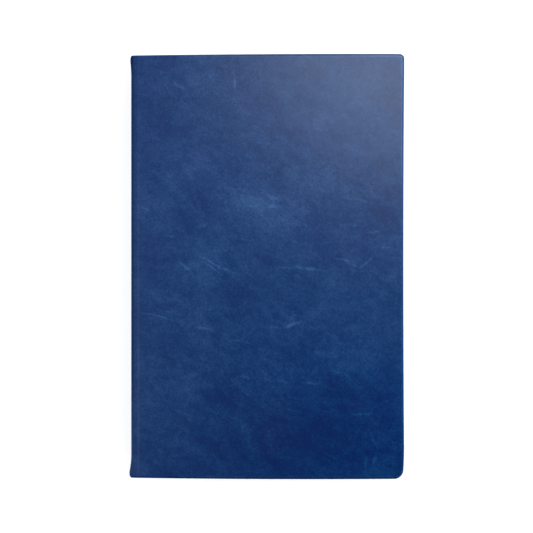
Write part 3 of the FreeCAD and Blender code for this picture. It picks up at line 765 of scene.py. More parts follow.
def leather_finish(name, case, front):
    """Smooth waxy pull-up leather: clouds, fine fibre, faint creases and a painted highlight inside the
    rims; on the front cover also painted shade on the rims, the spine's shoulder and towards the tail, and
    painted light on the fore-edge rim.
    """
    finish = Finish(name, True, Specular_IOR_Level=0.41)
    place = finish.place
    across, along = place.part(0), place.part(1)
    drift = place.drifted(0.024, 0.014)
    broad = drift.noise(0.040, 4.0, 0.55)
    wisps = drift.placed(degrees=-25, size=(1.6, 1, 1)).noise(0.011, 6.0, 0.68, 0.5)
    streaks = drift.placed(degrees=-58, size=(2.2, 1, 1)).noise(0.009, 5.0, 0.66)
    mottle = place.drifted(0.004, 0.002).noise(0.0030, 3.0, 0.6)
    fibre = place.placed(degrees=-50, size=(2.2, 1, 1)).noise(0.0007, 2.0, 0.6)
    grain = place.noise(0.00055, 2.0, 0.6)
    hue = drift.noise(0.022, 3.0, 0.55)
    ridged = drift.placed(degrees=-18, size=(2.4, 1, 1)).noise(0.013, 3.0, 0.5)
    fine_crease = (1 - abs(ridged - 0.5) * 70).eased(0, 1) * broad.eased(0.46, 0.62)
    strands = drift.placed(degrees=-32, size=(2.6, 1, 1)).noise(0.010, 4.0, 0.6, 0.4)
    veins = (1 - abs(strands - 0.5) * 9).eased(0, 1)
    clouds = broad * 0.30 + wisps * 0.45 + streaks * 0.1 + veins * 0.06 + 0.05
    if front:
        height = place.part(2)
        outside = height.eased(15 * MM, 17.5 * MM)
        flat = place.vectors("MULTIPLY", place, (1, 1, 0))
        drawn = laid_out(flat.drifted(0.009, 0.0036), CREASES) * (0.5 + mottle.eased(0.35, 0.62) * 1.1)
        crease = drawn.smaller(1.0) * outside + fine_crease * 0.22
        clouds = clouds + laid_out(flat.drifted(0.03, 0.012), CLOUDS) * outside * 0.24
    else:
        crease = fine_crease * 0.45
    nearest, fore = rim_distances(across, along)
    # Painted highlight: a pale line just inside the rolled rims, where they tilt towards the light; it is
    # missing towards the spine and brightest at the upper right corner.
    lit_corner = across.eased(30 * MM, 68 * MM) * along.eased(20 * MM, 105 * MM)
    painted_rim_highlight = (1 - abs(nearest - 1.1 * MM) / (0.55 * MM)).eased(0, 1)
    painted_rim_highlight = painted_rim_highlight * (across.eased(-65 * MM, -15 * MM) * 0.24 + lit_corner * 0.65)
    speckle = fibre * 0.45 + grain * 0.55
    paleness = 0.25 + (clouds - 0.49) * 1.4 + (mottle - 0.5) * 0.5 + (speckle - 0.5) * 1.45
    paleness = paleness.larger(0.0) + crease * 0.36 + painted_rim_highlight
    tone = paleness.ramped((0.0, case.deep), (0.25, case.navy), (0.5, case.pulled), (0.85, case.creased))
    tone = tone.mixed(0.35, hue.coloured((0.55, 1.12, 1.0), (1.45, 0.92, 1.0)), "MULTIPLY")
    rough = 0.34 + (streaks - 0.5) * 0.10 + (speckle - 0.5) * 0.12 - crease * 0.03
    if front:
        # Painted shade: towards the tail and the fore-edge the red is taken out of the leather, so that it
        # reads deep blue with no sheen.
        cool = across.eased(-30 * MM, 30 * MM) * along.faded(-80 * MM, -20 * MM)
        tone = tone.mixed(cool * 0.6, (0.0, 0.96, 1.04), "MULTIPLY")
        roll = height.eased(17.8 * MM, 18.3 * MM)
        ledge = height.eased(15.9 * MM, 16.6 * MM)
        tail_side = along.faded(-105 * MM, -70 * MM) * across.eased(-60 * MM, 20 * MM)
        # Painted shade: the outer part of the rolled rims is darkened and made matt, in a band wider
        # towards the tail and narrower towards the head.
        rim_shade_reach = nearest + (along.eased(-60 * MM, 80 * MM) * 0.6 - tail_side * 0.35) * MM
        painted_rim_shade = rim_shade_reach.faded(0.35 * MM, 1.1 * MM) * roll
        # Painted light on the fore-edge's rolled rim.
        lit_fore_rim = fore.faded(0.3 * MM, 1.0 * MM) * roll
        from_spine = across - SPINE_X
        # Painted shade on the spine's shoulder, half as strong at the tail.
        shoulder_shade_share = along.eased(-105 * MM, -50 * MM, 0.5, 1.0)
        shoulder = from_spine.faded(0.5 * MM, 2.6 * MM) * ledge * shoulder_shade_share
        joint = from_spine.faded(3.2 * MM, 4.0 * MM) * ledge
        tone = tone.mixed(painted_rim_shade.larger(shoulder) * 0.8, case.rim).mixed(lit_fore_rim * 0.8, case.lit_fore_rim)
        rough = rough + joint * 0.15
        finish.matt_where(painted_rim_shade.larger(shoulder * 0.85).larger(joint * 0.45), tone)
    finish.give("Roughness", rough)
    return finish.done(tone, crease * 0.15 + speckle * 0.4 + streaks * 1.2, 0.5, 0.14 * MM)


def endpaper_finish(name, paper):
    """Plain laid paper with fine ribs and scattered fibres."""
    finish = Finish(name, True, Roughness=0.86, Specular_IOR_Level=0.25)
    ribs = finish.place.bands("Y", 520.0, 0.6, 0.4)
    pulp = finish.place.noise(0.006, 4.0, 0.6)
    fibres = finish.place.placed(degrees=34.3775, size=(7, 1, 1)).noise(0.0011, 2.0, 0.6).eased(0.66, 0.74)
    shade = (pulp * 0.7 + ribs * 0.3).coloured(
        [part * 0.93 for part in paper.endpaper], [min(1, part * 1.05) for part in paper.endpaper],
    )
    tone = shade.mixed(fibres * 0.25, (0.40, 0.34, 0.25))
    return finish.done(tone, ribs * 0.5 + pulp * 0.5, 0.35, 0.05 * MM)


# The ruling of a log page: its edges, its heading and totals, and its columns in millimetres.
THIN_LINE, SPLIT_LINE, THICK_LINE = 0.22 * MM, 0.2 * MM, 0.5 * MM
PAGE_LEFT, PAGE_RIGHT = -58 * MM, 62 * MM
PAGE_HEAD, PAGE_TAIL = 97 * MM, -97 * MM
HEADING, TOTALS = 79 * MM, -79 * MM
HEADING_SPLIT, TOTALS_ROW = 88 * MM, 6 * MM
THICK_COLUMNS = (-58, -22, 8, 35, 62)
THIN_COLUMNS = (-46, -34, -12, -2, 17, 26, 44, 53)
# Beyond these the sheets show their trimmed edges, in layers this thick, with painted shade between them.
TRIMMED_X, TRIMMED_Y, LAYER = 68.6 * MM, 107.8 * MM, 0.22 * MM


def ruled(across, spacing):
    """1 on thin lines that repeat at a spacing, 0 between them."""
    return across.repeated(spacing).faded(THIN_LINE / spacing / 2, THIN_LINE / spacing * 0.9)


def between(value, low, high, soft=0.05 * MM):
    """1 where a value lies between two others."""
    return value.eased(low - soft, low + soft) * value.faded(high - soft, high + soft)


def on_line(value, place, width):
    """1 on one line across a value."""
    return between(value, place - width / 2, place + width / 2)


def log_paper_finish(name, paper, bends):
    """Ruled ledger paper: rows, columns, a heading and totals, with no lettering."""
    finish = Finish(name, bends, Roughness=0.82, Specular_IOR_Level=0.25)
    place = finish.place
    x, y, z = (place.part(axis) for axis in range(3))
    drawn = ruled(y - TOTALS, (HEADING - TOTALS) / paper.rows) * between(y, TOTALS, HEADING)
    drawn = drawn.larger(ruled(y - PAGE_TAIL, TOTALS_ROW) * between(y, PAGE_TAIL, TOTALS))
    for column in THICK_COLUMNS:
        drawn = drawn.larger(on_line(x, column * MM, THICK_LINE))
    for column in THIN_COLUMNS:
        drawn = drawn.larger(on_line(x, column * MM, THIN_LINE))
    for level in (PAGE_HEAD, HEADING, TOTALS, PAGE_TAIL):
        drawn = drawn.larger(on_line(y, level, THICK_LINE))
    split = on_line(y, HEADING_SPLIT, SPLIT_LINE) * between(x, THICK_COLUMNS[1] * MM, PAGE_RIGHT)
    drawn = drawn.larger(split)
    half = THICK_LINE / 2
    drawn = drawn * between(x, PAGE_LEFT - half, PAGE_RIGHT + half)
    drawn = drawn * between(y, PAGE_TAIL - half, PAGE_HEAD + half)
    washed = between(y, HEADING, PAGE_HEAD) + between(y, PAGE_TAIL, TOTALS)
    washed = washed * between(x, PAGE_LEFT, PAGE_RIGHT) * between(y, PAGE_TAIL, PAGE_HEAD)
    pulp = place.noise(0.004, 4.0, 0.6)
    layer = z.maths("FLOOR", z / LAYER)
    streak = layer.node("ShaderNodeTexWhiteNoise", {"noise_dimensions": "1D"}, {"W": layer})
    outside = abs(x).above(TRIMMED_X).larger(abs(y).above(TRIMMED_Y))
    tone = (pulp.eased(0.2, 0.8) * 0.6 + 0.2).coloured(
        [part * 0.95 for part in paper.log_paper], paper.log_paper,
    )
    # Painted shade between the sheets at the trimmed edges, darker in some layers than in others.
    tone = tone.mixed((streak * 0.55 + 0.25) * outside, paper.trimmed)
    tone = tone.mixed(washed * 0.35, paper.wash).mixed(drawn * 0.8, paper.ruling)
    return finish.done(tone, pulp, 0.3, 0.03 * MM)


def silk_finish(name, band, low, high):
    """Silk wound round a headband in dark and pale turns."""
    finish = Finish(name, Specular_IOR_Level=0.5)
    turns = (finish.place.part(2) - low).repeated((high - low) / band.wraps * 2).eased(0.23, 0.27)
    strands = finish.place.placed(size=(1, 1, 0.3)).noise(0.0003, 3.0, 0.6)
    shade = strands.coloured((0.72, 0.72, 0.72), (1.1, 1.1, 1.1))
    tone = turns.coloured(band.silk_dark, band.silk_pale).mixed(0.8, shade, "MULTIPLY")
    finish.give("Roughness", 0.38 + strands * 0.25)
    return finish.done(tone, strands, 0.6, 0.05 * MM)


def board_finish(name):
    """Grey bookbinding board with flecks."""
    finish = Finish(name, Roughness=0.93, Specular_IOR_Level=0.2)
    pulp = finish.place.noise(0.0016, 4.0, 0.65)
    layers = finish.place.placed(size=(6, 6, 0.25)).noise(0.0016, 2.0, 0.5)
    flecks = finish.place.noise(0.0007, 1.0, 0.4).eased(0.66, 0.72)
    tone = (pulp * 0.6 + layers * 0.4).coloured((0.17, 0.165, 0.15), (0.36, 0.35, 0.32))
    tone = tone.mixed(flecks * 0.5, (0.08, 0.075, 0.07))
    return finish.done(tone, pulp + flecks * 0.3, 0.5, 0.1 * MM)


def kraft_finish(name):
    """Brown kraft paper with fine lengthways lines."""
    finish = Finish(name, Roughness=0.8, Specular_IOR_Level=0.3)
    lines = finish.place.placed(size=(1, 14, 1)).noise(0.0006, 3.0, 0.6)
    pulp = finish.place.noise(0.003, 4.0, 0.6)
    tone = (lines * 0.5 + pulp * 0.5).coloured((0.20, 0.115, 0.055), (0.42, 0.27, 0.145))
    return finish.done(tone, lines, 0.4, 0.05 * MM)


def gauze_finish(name):
    """Cotton gauze: threads that pass over and under each other."""
    finish = Finish(name, Roughness=0.88, Specular_IOR_Level=0.25)
    pitch = 0.9 * MM
    along_x, along_y, along_z = (finish.place.bands(way, 0.314 / pitch, 0.4) for way in "XYZ")
    weave = along_x.larger(along_y).larger(along_z)
    fuzz = finish.place.noise(pitch * 0.6, 3.0, 0.6)
    tone = (weave * 0.75 + fuzz * 0.25).coloured((0.30, 0.28, 0.23), (0.74, 0.71, 0.62))
    return finish.done(tone, weave + fuzz * 0.3, 0.7, 0.1 * MM)


def thread_finish(name):
    """Waxed linen thread with twisted strands."""
    finish = Finish(name, Roughness=0.6, Specular_IOR_Level=0.4)
    twist = finish.place.bands("DIAGONAL", 700.0, 1.0)
    fuzz = finish.place.noise(0.0004, 3.0, 0.6)
    tone = (twist * 0.6 + fuzz * 0.4).coloured((0.42, 0.36, 0.25), (0.78, 0.71, 0.56))
    return finish.done(tone, twist, 0.6, 0.06 * MM)


def floor_finish(name, stage):
    """Pale matt floor with a hardly visible tooth."""
    finish = Finish(name, Roughness=0.9, Specular_IOR_Level=0.2)
    tooth = finish.place.noise(0.02, 3.0, 0.5)
    finish.give("Base Color", tooth.coloured([part * 0.985 for part in stage.floor], stage.floor))
    finish.give("Emission Color", (1, 1, 1))
    finish.give("Emission Strength", stage.floor_glow)
    return finish.material


# ---- leather case ----


def on_wall(edge, level):
    """Whether an edge is on the rim between a wall and the face at a level."""
    if len(edge.link_faces) != 2 or abs(middle(edge).z - level) > TINY:
        return False
    steep = sorted(abs(face.normal.z) for face in edge.link_faces)
    return steep[0] < 0.3 and steep[1] > 0.9


def bow_outline(joint_x, columns, rows):
    """Bends the straight outline of a cover to the bowed one."""
    for column in range(columns + 2):
        x = joint_x + (FORE_X - joint_x) * column / (columns + 1)
        top, bottom = head_arc(x), tail_arc(x)
        must_pick("VERT", lambda v: abs(v.co.x - x) < TINY, "a column of the cover")
        stretch = (top - bottom) / (2 * HALF_HEIGHT)
        bpy.ops.transform.resize(value=(1, stretch, 1), center_override=(0, 0, 0))
        shift(y=(top + bottom) / 2)
    reach = 1.2 * MM
    for row in range(rows + 2):
        y = 2 * HALF_HEIGHT * row / (rows + 1) - HALF_HEIGHT
        if pick("VERT", lambda v: abs(v.co.x - FORE_X) < TINY and abs(v.co.y - y) < reach):
            shift(x=fore_arc(y) - FORE_X)


def joint_path(joint_x, depth, case):
    """The leather from board to spine: rows of x, depth below the cover's face, and slope."""
    radius, slope = case.shoulder, case.joint_slope
    first = math.pi / 2 - slope
    centre_x = SPINE_X + radius
    centre_depth = (joint_x - SPINE_X) * math.tan(slope) + radius * math.tan(first / 2)

    def round_shoulder(angle):
        return centre_x - radius * math.cos(angle), centre_depth - radius * math.sin(angle)

    start_x, start_depth = round_shoulder(first)
    rows = [(joint_x, 0.0, 0.0)]
    for share in (0.3, 0.65):
        rows.append((joint_x + (start_x - joint_x) * share, start_depth * share, slope))
    steps = 5
    for step in range(steps + 1):
        angle = first * (1 - step / steps)
        rows.append((*round_shoulder(angle), math.pi / 2 - angle))
    rows.append((SPINE_X, (centre_depth + depth) / 2, math.pi / 2))
    rows.append((SPINE_X, depth, math.pi / 2))
    return rows


def sweep_joint(rows, outer, side):
    """Extrudes the selected end of a cover down to the spine, turning it as the leather turns."""
    for before, after in zip(rows, rows[1:]):
        pull_edges(x=after[0] - before[0], z=-side * (after[1] - before[1]))
        bpy.ops.transform.rotate(
            value=side * (after[2] - before[2]), orient_axis="Y",
            center_override=(after[0], 0, outer - side * after[1]),
        )


def flare(y, case):
    """How far the spine's end leans out at a height."""
    reach = case.head_flare if y > 0 else case.tail_flare
    return reach * eased_share(abs(y), case.flare_start, FLARE_END)


def lean_out(piece, case, near_x, far_x):
    """Leans the ends of a piece out, fully beyond far_x and not at all before near_x."""
    def leaning(co):
        return flare(co.y, case) / case.tail_flare * eased_share(co.x, near_x, far_x)

    displace(piece, "leaning", leaning, -case.tail_flare, direction="X")


def round_ends(piece, case):
    """Draws the ends of the leather in beside the spine, so that its corners are round."""
    start_x = SPINE_X + case.outer_roll

    def drawn_in(co, end):
        beyond = min(1, max(0, (start_x - flare(co.y, case) - co.x) / case.outer_roll))
        return (1 - math.sqrt(1 - beyond**2)) * eased_share(co.y * end, 104 * MM, 110 * MM)

    for end in (1, -1):
        displace(
            piece, f"drawn_in_{end}", lambda co: drawn_in(co, end), -end * case.end_corner, direction="Y",
        )


def make_cover_skin(name, outer, inner, seam, joint_x, case):
    """Leather over one board: rolled rims, mitred turn-ins, and the joint down to the spine."""
    side = 1 if outer > inner else -1
    low, high = min(outer, inner), max(outer, inner)
    columns, rows = 26, 42
    corner_x, corner_y = 70.5 * MM, 110 * MM
    piece = start_block(name, (joint_x, -HALF_HEIGHT, low), (FORE_X, HALF_HEIGHT, high))
    cut_along(0, columns)
    cut_along(1, rows)
    bow_outline(joint_x, columns, rows)
    for end, radius in ((1, case.head_corner), (-1, case.tail_corner)):
        round_edges(
            lambda e: runs(e, 2) and middle(e).x > corner_x and middle(e).y * end > corner_y,
            "a corner of the cover", radius, 7,
        )
    remove_faces(lambda f: abs(middle(f).x - joint_x) < TINY, "the joint side of the block")
    round_edges(lambda e: on_wall(e, outer), "the outer rim", case.outer_roll, 5)
    round_edges(lambda e: on_wall(e, inner), "the inner rim", case.inner_roll, 2)
    cut_turn_ins(inner, case)

    def at_joint(edge):
        deepest = max(side * (outer - v.co.z) for v in edge.verts)
        return all(abs(v.co.x - joint_x) < TINY for v in edge.verts) and deepest < case.outer_roll + TINY

    must_pick("EDGE", lambda e: e.is_boundary and at_joint(e), "the edge at the joint")
    sweep_joint(joint_path(joint_x, abs(outer - seam), case), outer, side)
    round_edges(
        lambda e: not e.is_boundary and at_joint(e), "the bend at the board's edge", case.board_bend, 3,
    )
    face_outwards()
    flip_if(piece, (0, 0, outer), (0, 0, side))
    apply_modifier(piece, "SUBSURF", levels=1, render_levels=1, boundary_smooth="PRESERVE_CORNERS")
    lean_out(piece, case, joint_x, SPINE_X)
    round_ends(piece, case)
    near = 0.3 * MM
    add_waves(
        piece, 21 * MM, case.unevenness,
        lambda co: abs(co.z - outer) < near and joint_x < co.x < 70 * MM and abs(co.y) < 109 * MM,
    )
    thick = weigh(
        piece, "full_thickness", lambda co: abs(co.z - inner) >= 0.12 * MM or co.x <= joint_x + 0.1 * MM,
    )
    apply_modifier(
        piece, "SOLIDIFY", thickness=case.leather, offset=-1, use_even_offset=True,
        vertex_group=thick, thickness_vertex_group=case.pared_share,
    )
    smooth(piece, 40)
    return piece


def cut_turn_ins(inner, case):
    """Opens the inside of a cover, leaving the turned-in leather with its two mitres."""
    window_x, window_y = FORE_X - case.turn_in, HALF_HEIGHT - case.turn_in

    def inside_face(face):
        return abs(middle(face).z - inner) < TINY and abs(face.normal.z) > 0.9

    for point, way in (
        ((window_x, 0, 0), (1, 0, 0)), ((0, window_y, 0), (0, 1, 0)), ((0, -window_y, 0), (0, 1, 0)),
    ):
        must_pick("FACE", inside_face, "the inside of the cover")
        bpy.ops.mesh.bisect(plane_co=point, plane_no=way)
    remove_faces(
        lambda f: inside_face(f) and middle(f).x < window_x and abs(middle(f).y) < window_y,
        "the window between the turn-ins",
    )
    for end in (1, -1):
        way = Vector((1, -end, 0)).normalized()
        point = Vector((window_x, end * window_y, inner))

        def in_corner(face):
            return inside_face(face) and middle(face).x > window_x and middle(face).y * end > window_y

        def near_mitre(vertex, share):
            return abs((vertex.co - point).dot(way)) < case.mitre_gap * share

        def on_mitre(vertex):
            beyond = window_x - TINY < vertex.co.x < 68.6 * MM and vertex.co.y * end > window_y - TINY
            return near_mitre(vertex, 0.4) and abs(vertex.co.z - inner) < TINY and beyond

        must_pick("FACE", in_corner, "the corner of the turn-ins")
        bpy.ops.mesh.bisect(plane_co=point, plane_no=way)
        round_edges(
            lambda e: all(on_mitre(v) for v in e.verts), "the line of a mitre", case.mitre_gap / 2, 1,
        )
        remove_faces(
            lambda f: in_corner(f) and all(near_mitre(v, 0.9) for v in f.verts)
            and min(v.co.x for v in f.verts) < 68 * MM,
            "the gap of a mitre",
        )


def make_spine_skin(case):
    """Leather over the spine, flared at its ends and rolled in over the headbands."""
    low, high = SPINE_LOW, SPINE_HIGH
    end_y = SPINE_END - case.end_corner
    piece = start_sheet("spine_skin", (SPINE_X, -end_y, low.z), (SPINE_X, end_y, high.z))
    cut_along(1, 87)
    cut_along(2, 5)
    turns = [math.radians(15 * step) for step in range(7)]
    for end in (1, -1):
        must_pick(
            "EDGE", lambda e: e.is_boundary and abs(middle(e).y - end * end_y) < TINY,
            "the end of the spine",
        )
        pull_along([
            (case.outer_roll * (1 - math.cos(turn)), end * case.end_corner * math.sin(turn), 0)
            for turn in turns
        ])
        pull_along([
            (0, 0, 0), (0.5 * MM, 0.05 * MM * end, 0), (0.85 * MM, -0.2 * MM * end, 0),
            (0.95 * MM, -0.7 * MM * end, 0),
        ])
    face_outwards()
    flip_if(piece, (SPINE_X, 0, (low.z + high.z) / 2), (-1, 0, 0))
    lean_out(piece, case, SPINE_X + 3 * MM, SPINE_X + 0.5 * MM)
    edge = 0.5 * MM
    add_waves(
        piece, 14 * MM, case.spine_unevenness,
        lambda co: low.z + edge < co.z < high.z - edge and abs(co.y) < end_y,
    )
    apply_modifier(piece, "SOLIDIFY", thickness=case.leather / 2, offset=-1, use_even_offset=True)
    smooth(piece, 50)
    return piece


class LOGBOOK_OT_case(bpy.types.Operator):
    """Models the leather over both covers, both joints and the spine"""

    bl_idname = "logbook.case"
    bl_label = "Leather case"

    def execute(self, context):
        case = context.scene.logbook_case
        front_leather = leather_finish("navy_leather_front", case, True)
        plain_leather = leather_finish("navy_leather_plain", case, False)
        for side, outer, inner, seam, joint_x, leather in (
            ("front", COVER_HIGH.z, COVER_LOW.z, FRONT_SEAM_Z, COVER_LOW.x, front_leather),
            ("back", BACK_LOW.z, BACK_HIGH.z, BACK_SEAM_Z, BACK_LOW.x, plain_leather),
        ):
            skin = make_cover_skin(f"{side}_skin", outer, inner, seam, joint_x, case)
            keep_places(skin)
            finish_piece(skin, leather, "cover_leather", f"{side}_cover_leather", f"{side}_joint_leather")
            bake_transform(skin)
        spine = make_spine_skin(case)
        keep_places(spine)
        finish_piece(spine, plain_leather, "cover_leather", "spine_leather")
        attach(spine, "text_block")
        return {"FINISHED"}


# ---- papers ----


def make_pastedown(name, low, high, into, case, paper):
    """Endpaper pasted inside a cover: it rises over the turn-ins and crosses the hinge."""
    rim = low.z if into > 0 else high.z
    piece = start_sheet(name, (low.x, low.y, rim), (high.x, high.y, rim))
    window_x, window_y = FORE_X - case.turn_in, HALF_HEIGHT - case.turn_in
    step = 0.5 * MM
    for x in (window_x, window_x - step):
        cut_across(x=x)
    for y in (window_y, window_y - step, -window_y, step - window_y):
        cut_across(y=y)
    must_pick(
        "VERT", lambda v: v.co.x < window_x - step / 2 and abs(v.co.y) < window_y - step / 2,
        "the sunk middle of the endpaper",
    )
    shift(z=into * paper.sink)
    must_pick("EDGE", lambda e: e.is_boundary and abs(middle(e).x - low.x) < TINY, "the edge at the hinge")
    bend = (HINGE_X + 0.6 * MM, HINGE_X + 0.3 * MM, HINGE_X, HINGE_X - 0.25 * MM)
    pull_along([(x, 0, 0) for x in (low.x, low.x - 0.6 * MM, *bend)])
    must_pick("VERT", lambda v: v.co.x < low.x - 0.3 * MM, "the strip at the hinge")
    bpy.ops.transform.resize(value=(1, 1, 0), center_override=(0, 0, rim))
    select_whole()
    bpy.ops.mesh.subdivide(number_cuts=2)
    flip_if(piece, (0, 0, rim + into * paper.sink), (0, 0, -into))
    apply_modifier(piece, "SOLIDIFY", thickness=paper.endpaper_sheet, offset=-1, use_even_offset=True)
    smooth(piece, 30)
    return piece


def make_leaf(name, node, paper):
    """A single leaf, divided at the fold so that it can curve when it turns."""
    low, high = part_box(node)
    piece = start_sheet(name, (low.x, low.y, low.z), (high.x, high.y, low.z))
    steps = 12
    for step in range(1, steps + 1):
        cut_across(x=low.x + paper.arch * step / steps)
    cut_across(x=0)
    for level in (-1, 0, 1):
        cut_across(y=level * 54 * MM)
    flip_if(piece, (0, 0, low.z), (0, 0, -1))
    apply_modifier(piece, "SOLIDIFY", thickness=high.z - low.z, offset=-1)
    open_for_editing(piece)
    round_edges(
        lambda e: runs(e, 2) and middle(e).x > high.x - TINY and abs(middle(e).y) > high.y - TINY,
        "the corners of a leaf", paper.leaf_corner, 3, False,
    )
    smooth(piece, 30)
    return piece


def turn_leaf(piece, node, material, slot):
    """Finishes a leaf that stands for a packed one, and stores its places on the closed book for its
    finish.
    """
    keep_places(piece)
    finish_piece(piece, material, slot, node)
    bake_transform(piece)


class LOGBOOK_OT_endpapers(bpy.types.Operator):
    """Models the endpapers pasted inside the covers and the two flyleaves"""

    bl_idname = "logbook.endpapers"
    bl_label = "Endpapers"

    def execute(self, context):
        case, paper = context.scene.logbook_case, context.scene.logbook_paper
        endpaper = endpaper_finish("laid_endpaper", paper)
        for side, into in (("front", 1), ("back", -1)):
            low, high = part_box(f"{side}_pastedown")
            paste = make_pastedown(f"{side}_pasted_paper", low, high, into, case, paper)
            fly = make_leaf(f"{side}_fly_paper", f"{side}_flyleaf", paper)
            keep_places(paste)
            finish_piece(paste, endpaper, "endpaper", f"{side}_pastedown")
            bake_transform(paste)
            turn_leaf(fly, f"{side}_flyleaf", endpaper, "endpaper")
        return {"FINISHED"}


class LOGBOOK_OT_log_leaves(bpy.types.Operator):
    """Models the ruled leaves that turn"""

    bl_idname = "logbook.log_leaves"
    bl_label = "Log leaves"

    def execute(self, context):
        paper = context.scene.logbook_paper
        ruled_paper = log_paper_finish("ruled_log_leaf", paper, True)
        for number in range(1, TURNING_LEAF_COUNT + 1):
            node = f"log_leaf_{number}"
            turn_leaf(make_leaf(f"ruled_leaf_{number}", node, paper), node, ruled_paper, "log_paper")
        return {"FINISHED"}


def make_folded_sheet(fold_x, page_x, half_page, level, radius):
    """One sheet folded once: fore-edge, round the fold, and back to the fore-edge."""
    start_x = fold_x + radius
    piece = start_sheet(
        "folded_sheet", (start_x, -half_page, level + radius), (page_x, half_page, level + radius),
    )
    must_pick("EDGE", lambda e: abs(middle(e).x - start_x) < TINY, "the fold of a sheet")
    turns = [math.pi * step / 6 for step in range(7)]
    pull_along([(-radius * math.sin(turn), 0, radius * math.cos(turn)) for turn in turns])
    pull_edges(x=page_x - start_x)
    face_outwards()
    return piece


def make_section(name, paper):
    """One section of nested folded sheets, at the top of the block."""
    low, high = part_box("section_1")
    chance = random.Random(41)
    pitch = (high.z - low.z) / 2 / paper.sheets
    level = (low.z + high.z) / 2
    sheets = []
    for number in range(paper.sheets):
        inset = pitch * (number + 0.5)
        radius = (high.z - low.z) / 2 - inset
        trim = chance.uniform(0, paper.trim)
        sheets.append(make_folded_sheet(low.x + inset, high.x - trim, high.y, level, radius))
    section = join(sheets)
    rename(section, name)
    apply_modifier(section, "SOLIDIFY", thickness=paper.sheet, offset=0)
    smooth(section, 40)
    return section


class LOGBOOK_OT_sections(bpy.types.Operator):
    """Models the sections of folded log sheets"""

    bl_idname = "logbook.sections"
    bl_label = "Sections"

    def execute(self, context):
        paper = context.scene.logbook_paper
        ruled_paper = log_paper_finish("ruled_log_sheet", paper, False)
        first = make_section("folded_section_1", paper)
        sections = [first]
        for number in range(2, SECTION_COUNT + 1):
            section = first.copy()
            section.data = first.data.copy()
            rename(section, f"folded_section_{number}")
            context.scene.collection.objects.link(section)
            open_for_editing(section)
            select_whole()
            shift(z=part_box(f"section_{number}")[0].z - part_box("section_1")[0].z)
            sections.append(section)
        for number, section in enumerate(sections, 1):
            finish_piece(section, ruled_paper, "log_paper", f"section_{number}")
            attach(section, "text_block")
        return {"FINISHED"}


# ---- headbands and inner parts ----


def make_band(name, node, band):
    """A headband: a bead wound with silk, and the tape that holds it to the spine."""
    low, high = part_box(node)
    end = 1 if high.y > 0 else -1
    bead_x, bead_y = BEAD_X, end * BEAD_Y
    span = high.z - low.z
    stop_editing()
    bpy.ops.mesh.primitive_cylinder_add(
        vertices=14, radius=band.bead, depth=span, location=(bead_x, bead_y, (low.z + high.z) / 2),
    )
    bead = settle(name)
    steps = band.wraps * 2
    cut_along(2, steps - 1)
    for step in range(0, steps + 1, 2):
        level = low.z + span * step / steps
        must_pick("VERT", lambda v: abs(v.co.z - level) < TINY, "a groove of the headband")
        bpy.ops.transform.resize(
            value=(band.groove, band.groove, 1), center_override=(bead_x, bead_y, level),
        )
    smooth(bead, 60)
    tape_start_y = end * min(abs(low.y), abs(high.y))
    from_y, to_y = sorted((tape_start_y, bead_y))
    margin = 0.2 * MM
    tape = start_block(
        f"{name}_tape", (low.x, from_y, low.z + margin), (low.x + band.tape, to_y, high.z - margin),
    )
    cut_along(1, 8)
    cut_along(2, 8)
    return join([bead, tape])


class LOGBOOK_OT_headbands(bpy.types.Operator):
    """Models the silk headbands at head and tail"""

    bl_idname = "logbook.headbands"
    bl_label = "Headbands"

    def execute(self, context):
        band = context.scene.logbook_band
        for name, node in (("head_silk", "headband"), ("tail_silk", "tailband")):
            low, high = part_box(node)
            silk = silk_finish(f"{name}_turns", band, low.z, high.z)
            piece = make_band(name, node, band)
            finish_piece(piece, silk, "woven_band", node)
            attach(piece, "text_block")
        return {"FINISHED"}


class LOGBOOK_OT_inner_parts(bpy.types.Operator):
    """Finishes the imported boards, linings, gauze and thread"""

    bl_idname = "logbook.inner_parts"
    bl_label = "Inner parts"

    def execute(self, context):
        for material, nodes in (
            (board_finish("grey_board"), ("front_board", "back_board")),
            (kraft_finish("kraft_lining_paper"), ("spine_inlay", "spine_lining")),
            (gauze_finish("cotton_gauze"), ("mull", "front_mull_flap", "back_mull_flap")),
            (thread_finish("waxed_linen"), ("sewing_thread",)),
        ):
            for node in nodes:
                coat(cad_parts[node], material)
        return {"FINISHED"}


# ---- stage ----


def add_light(name, place, target, size, watts, tone):
    """A soft rectangular light aimed at a point and hidden from the camera."""
    bpy.ops.object.light_add(type="AREA", location=place)
    light = bpy.context.object
    light.name = name
    light.data.shape = "RECTANGLE"
    light.data.size, light.data.size_y = size
    light.data.energy = watts
    light.data.color = tone
    light.rotation_euler = (Vector(target) - Vector(place)).to_track_quat("-Z", "Y").to_euler()
    light.visible_camera = False
    return light


def make_world():
    """A room that is pale near the floor and dark overhead."""
    world = bpy.data.worlds.new("studio_room")
    bpy.context.scene.world = world
    world.use_nodes = True
    tree = world.node_tree
    up = Wire(tree).node("ShaderNodeTexCoord").part(2)
    greys = ((0.08, 1.0), (0.25, 0.64), (0.6, 0.096), (0.9, 0.008))
    glow = up.ramped(*((height, (grey, grey, grey)) for height, grey in greys))
    tree.links.new(glow.socket, tree.nodes["Background"].inputs["Color"])
    tree.nodes["Background"].inputs["Strength"].default_value = 1.0


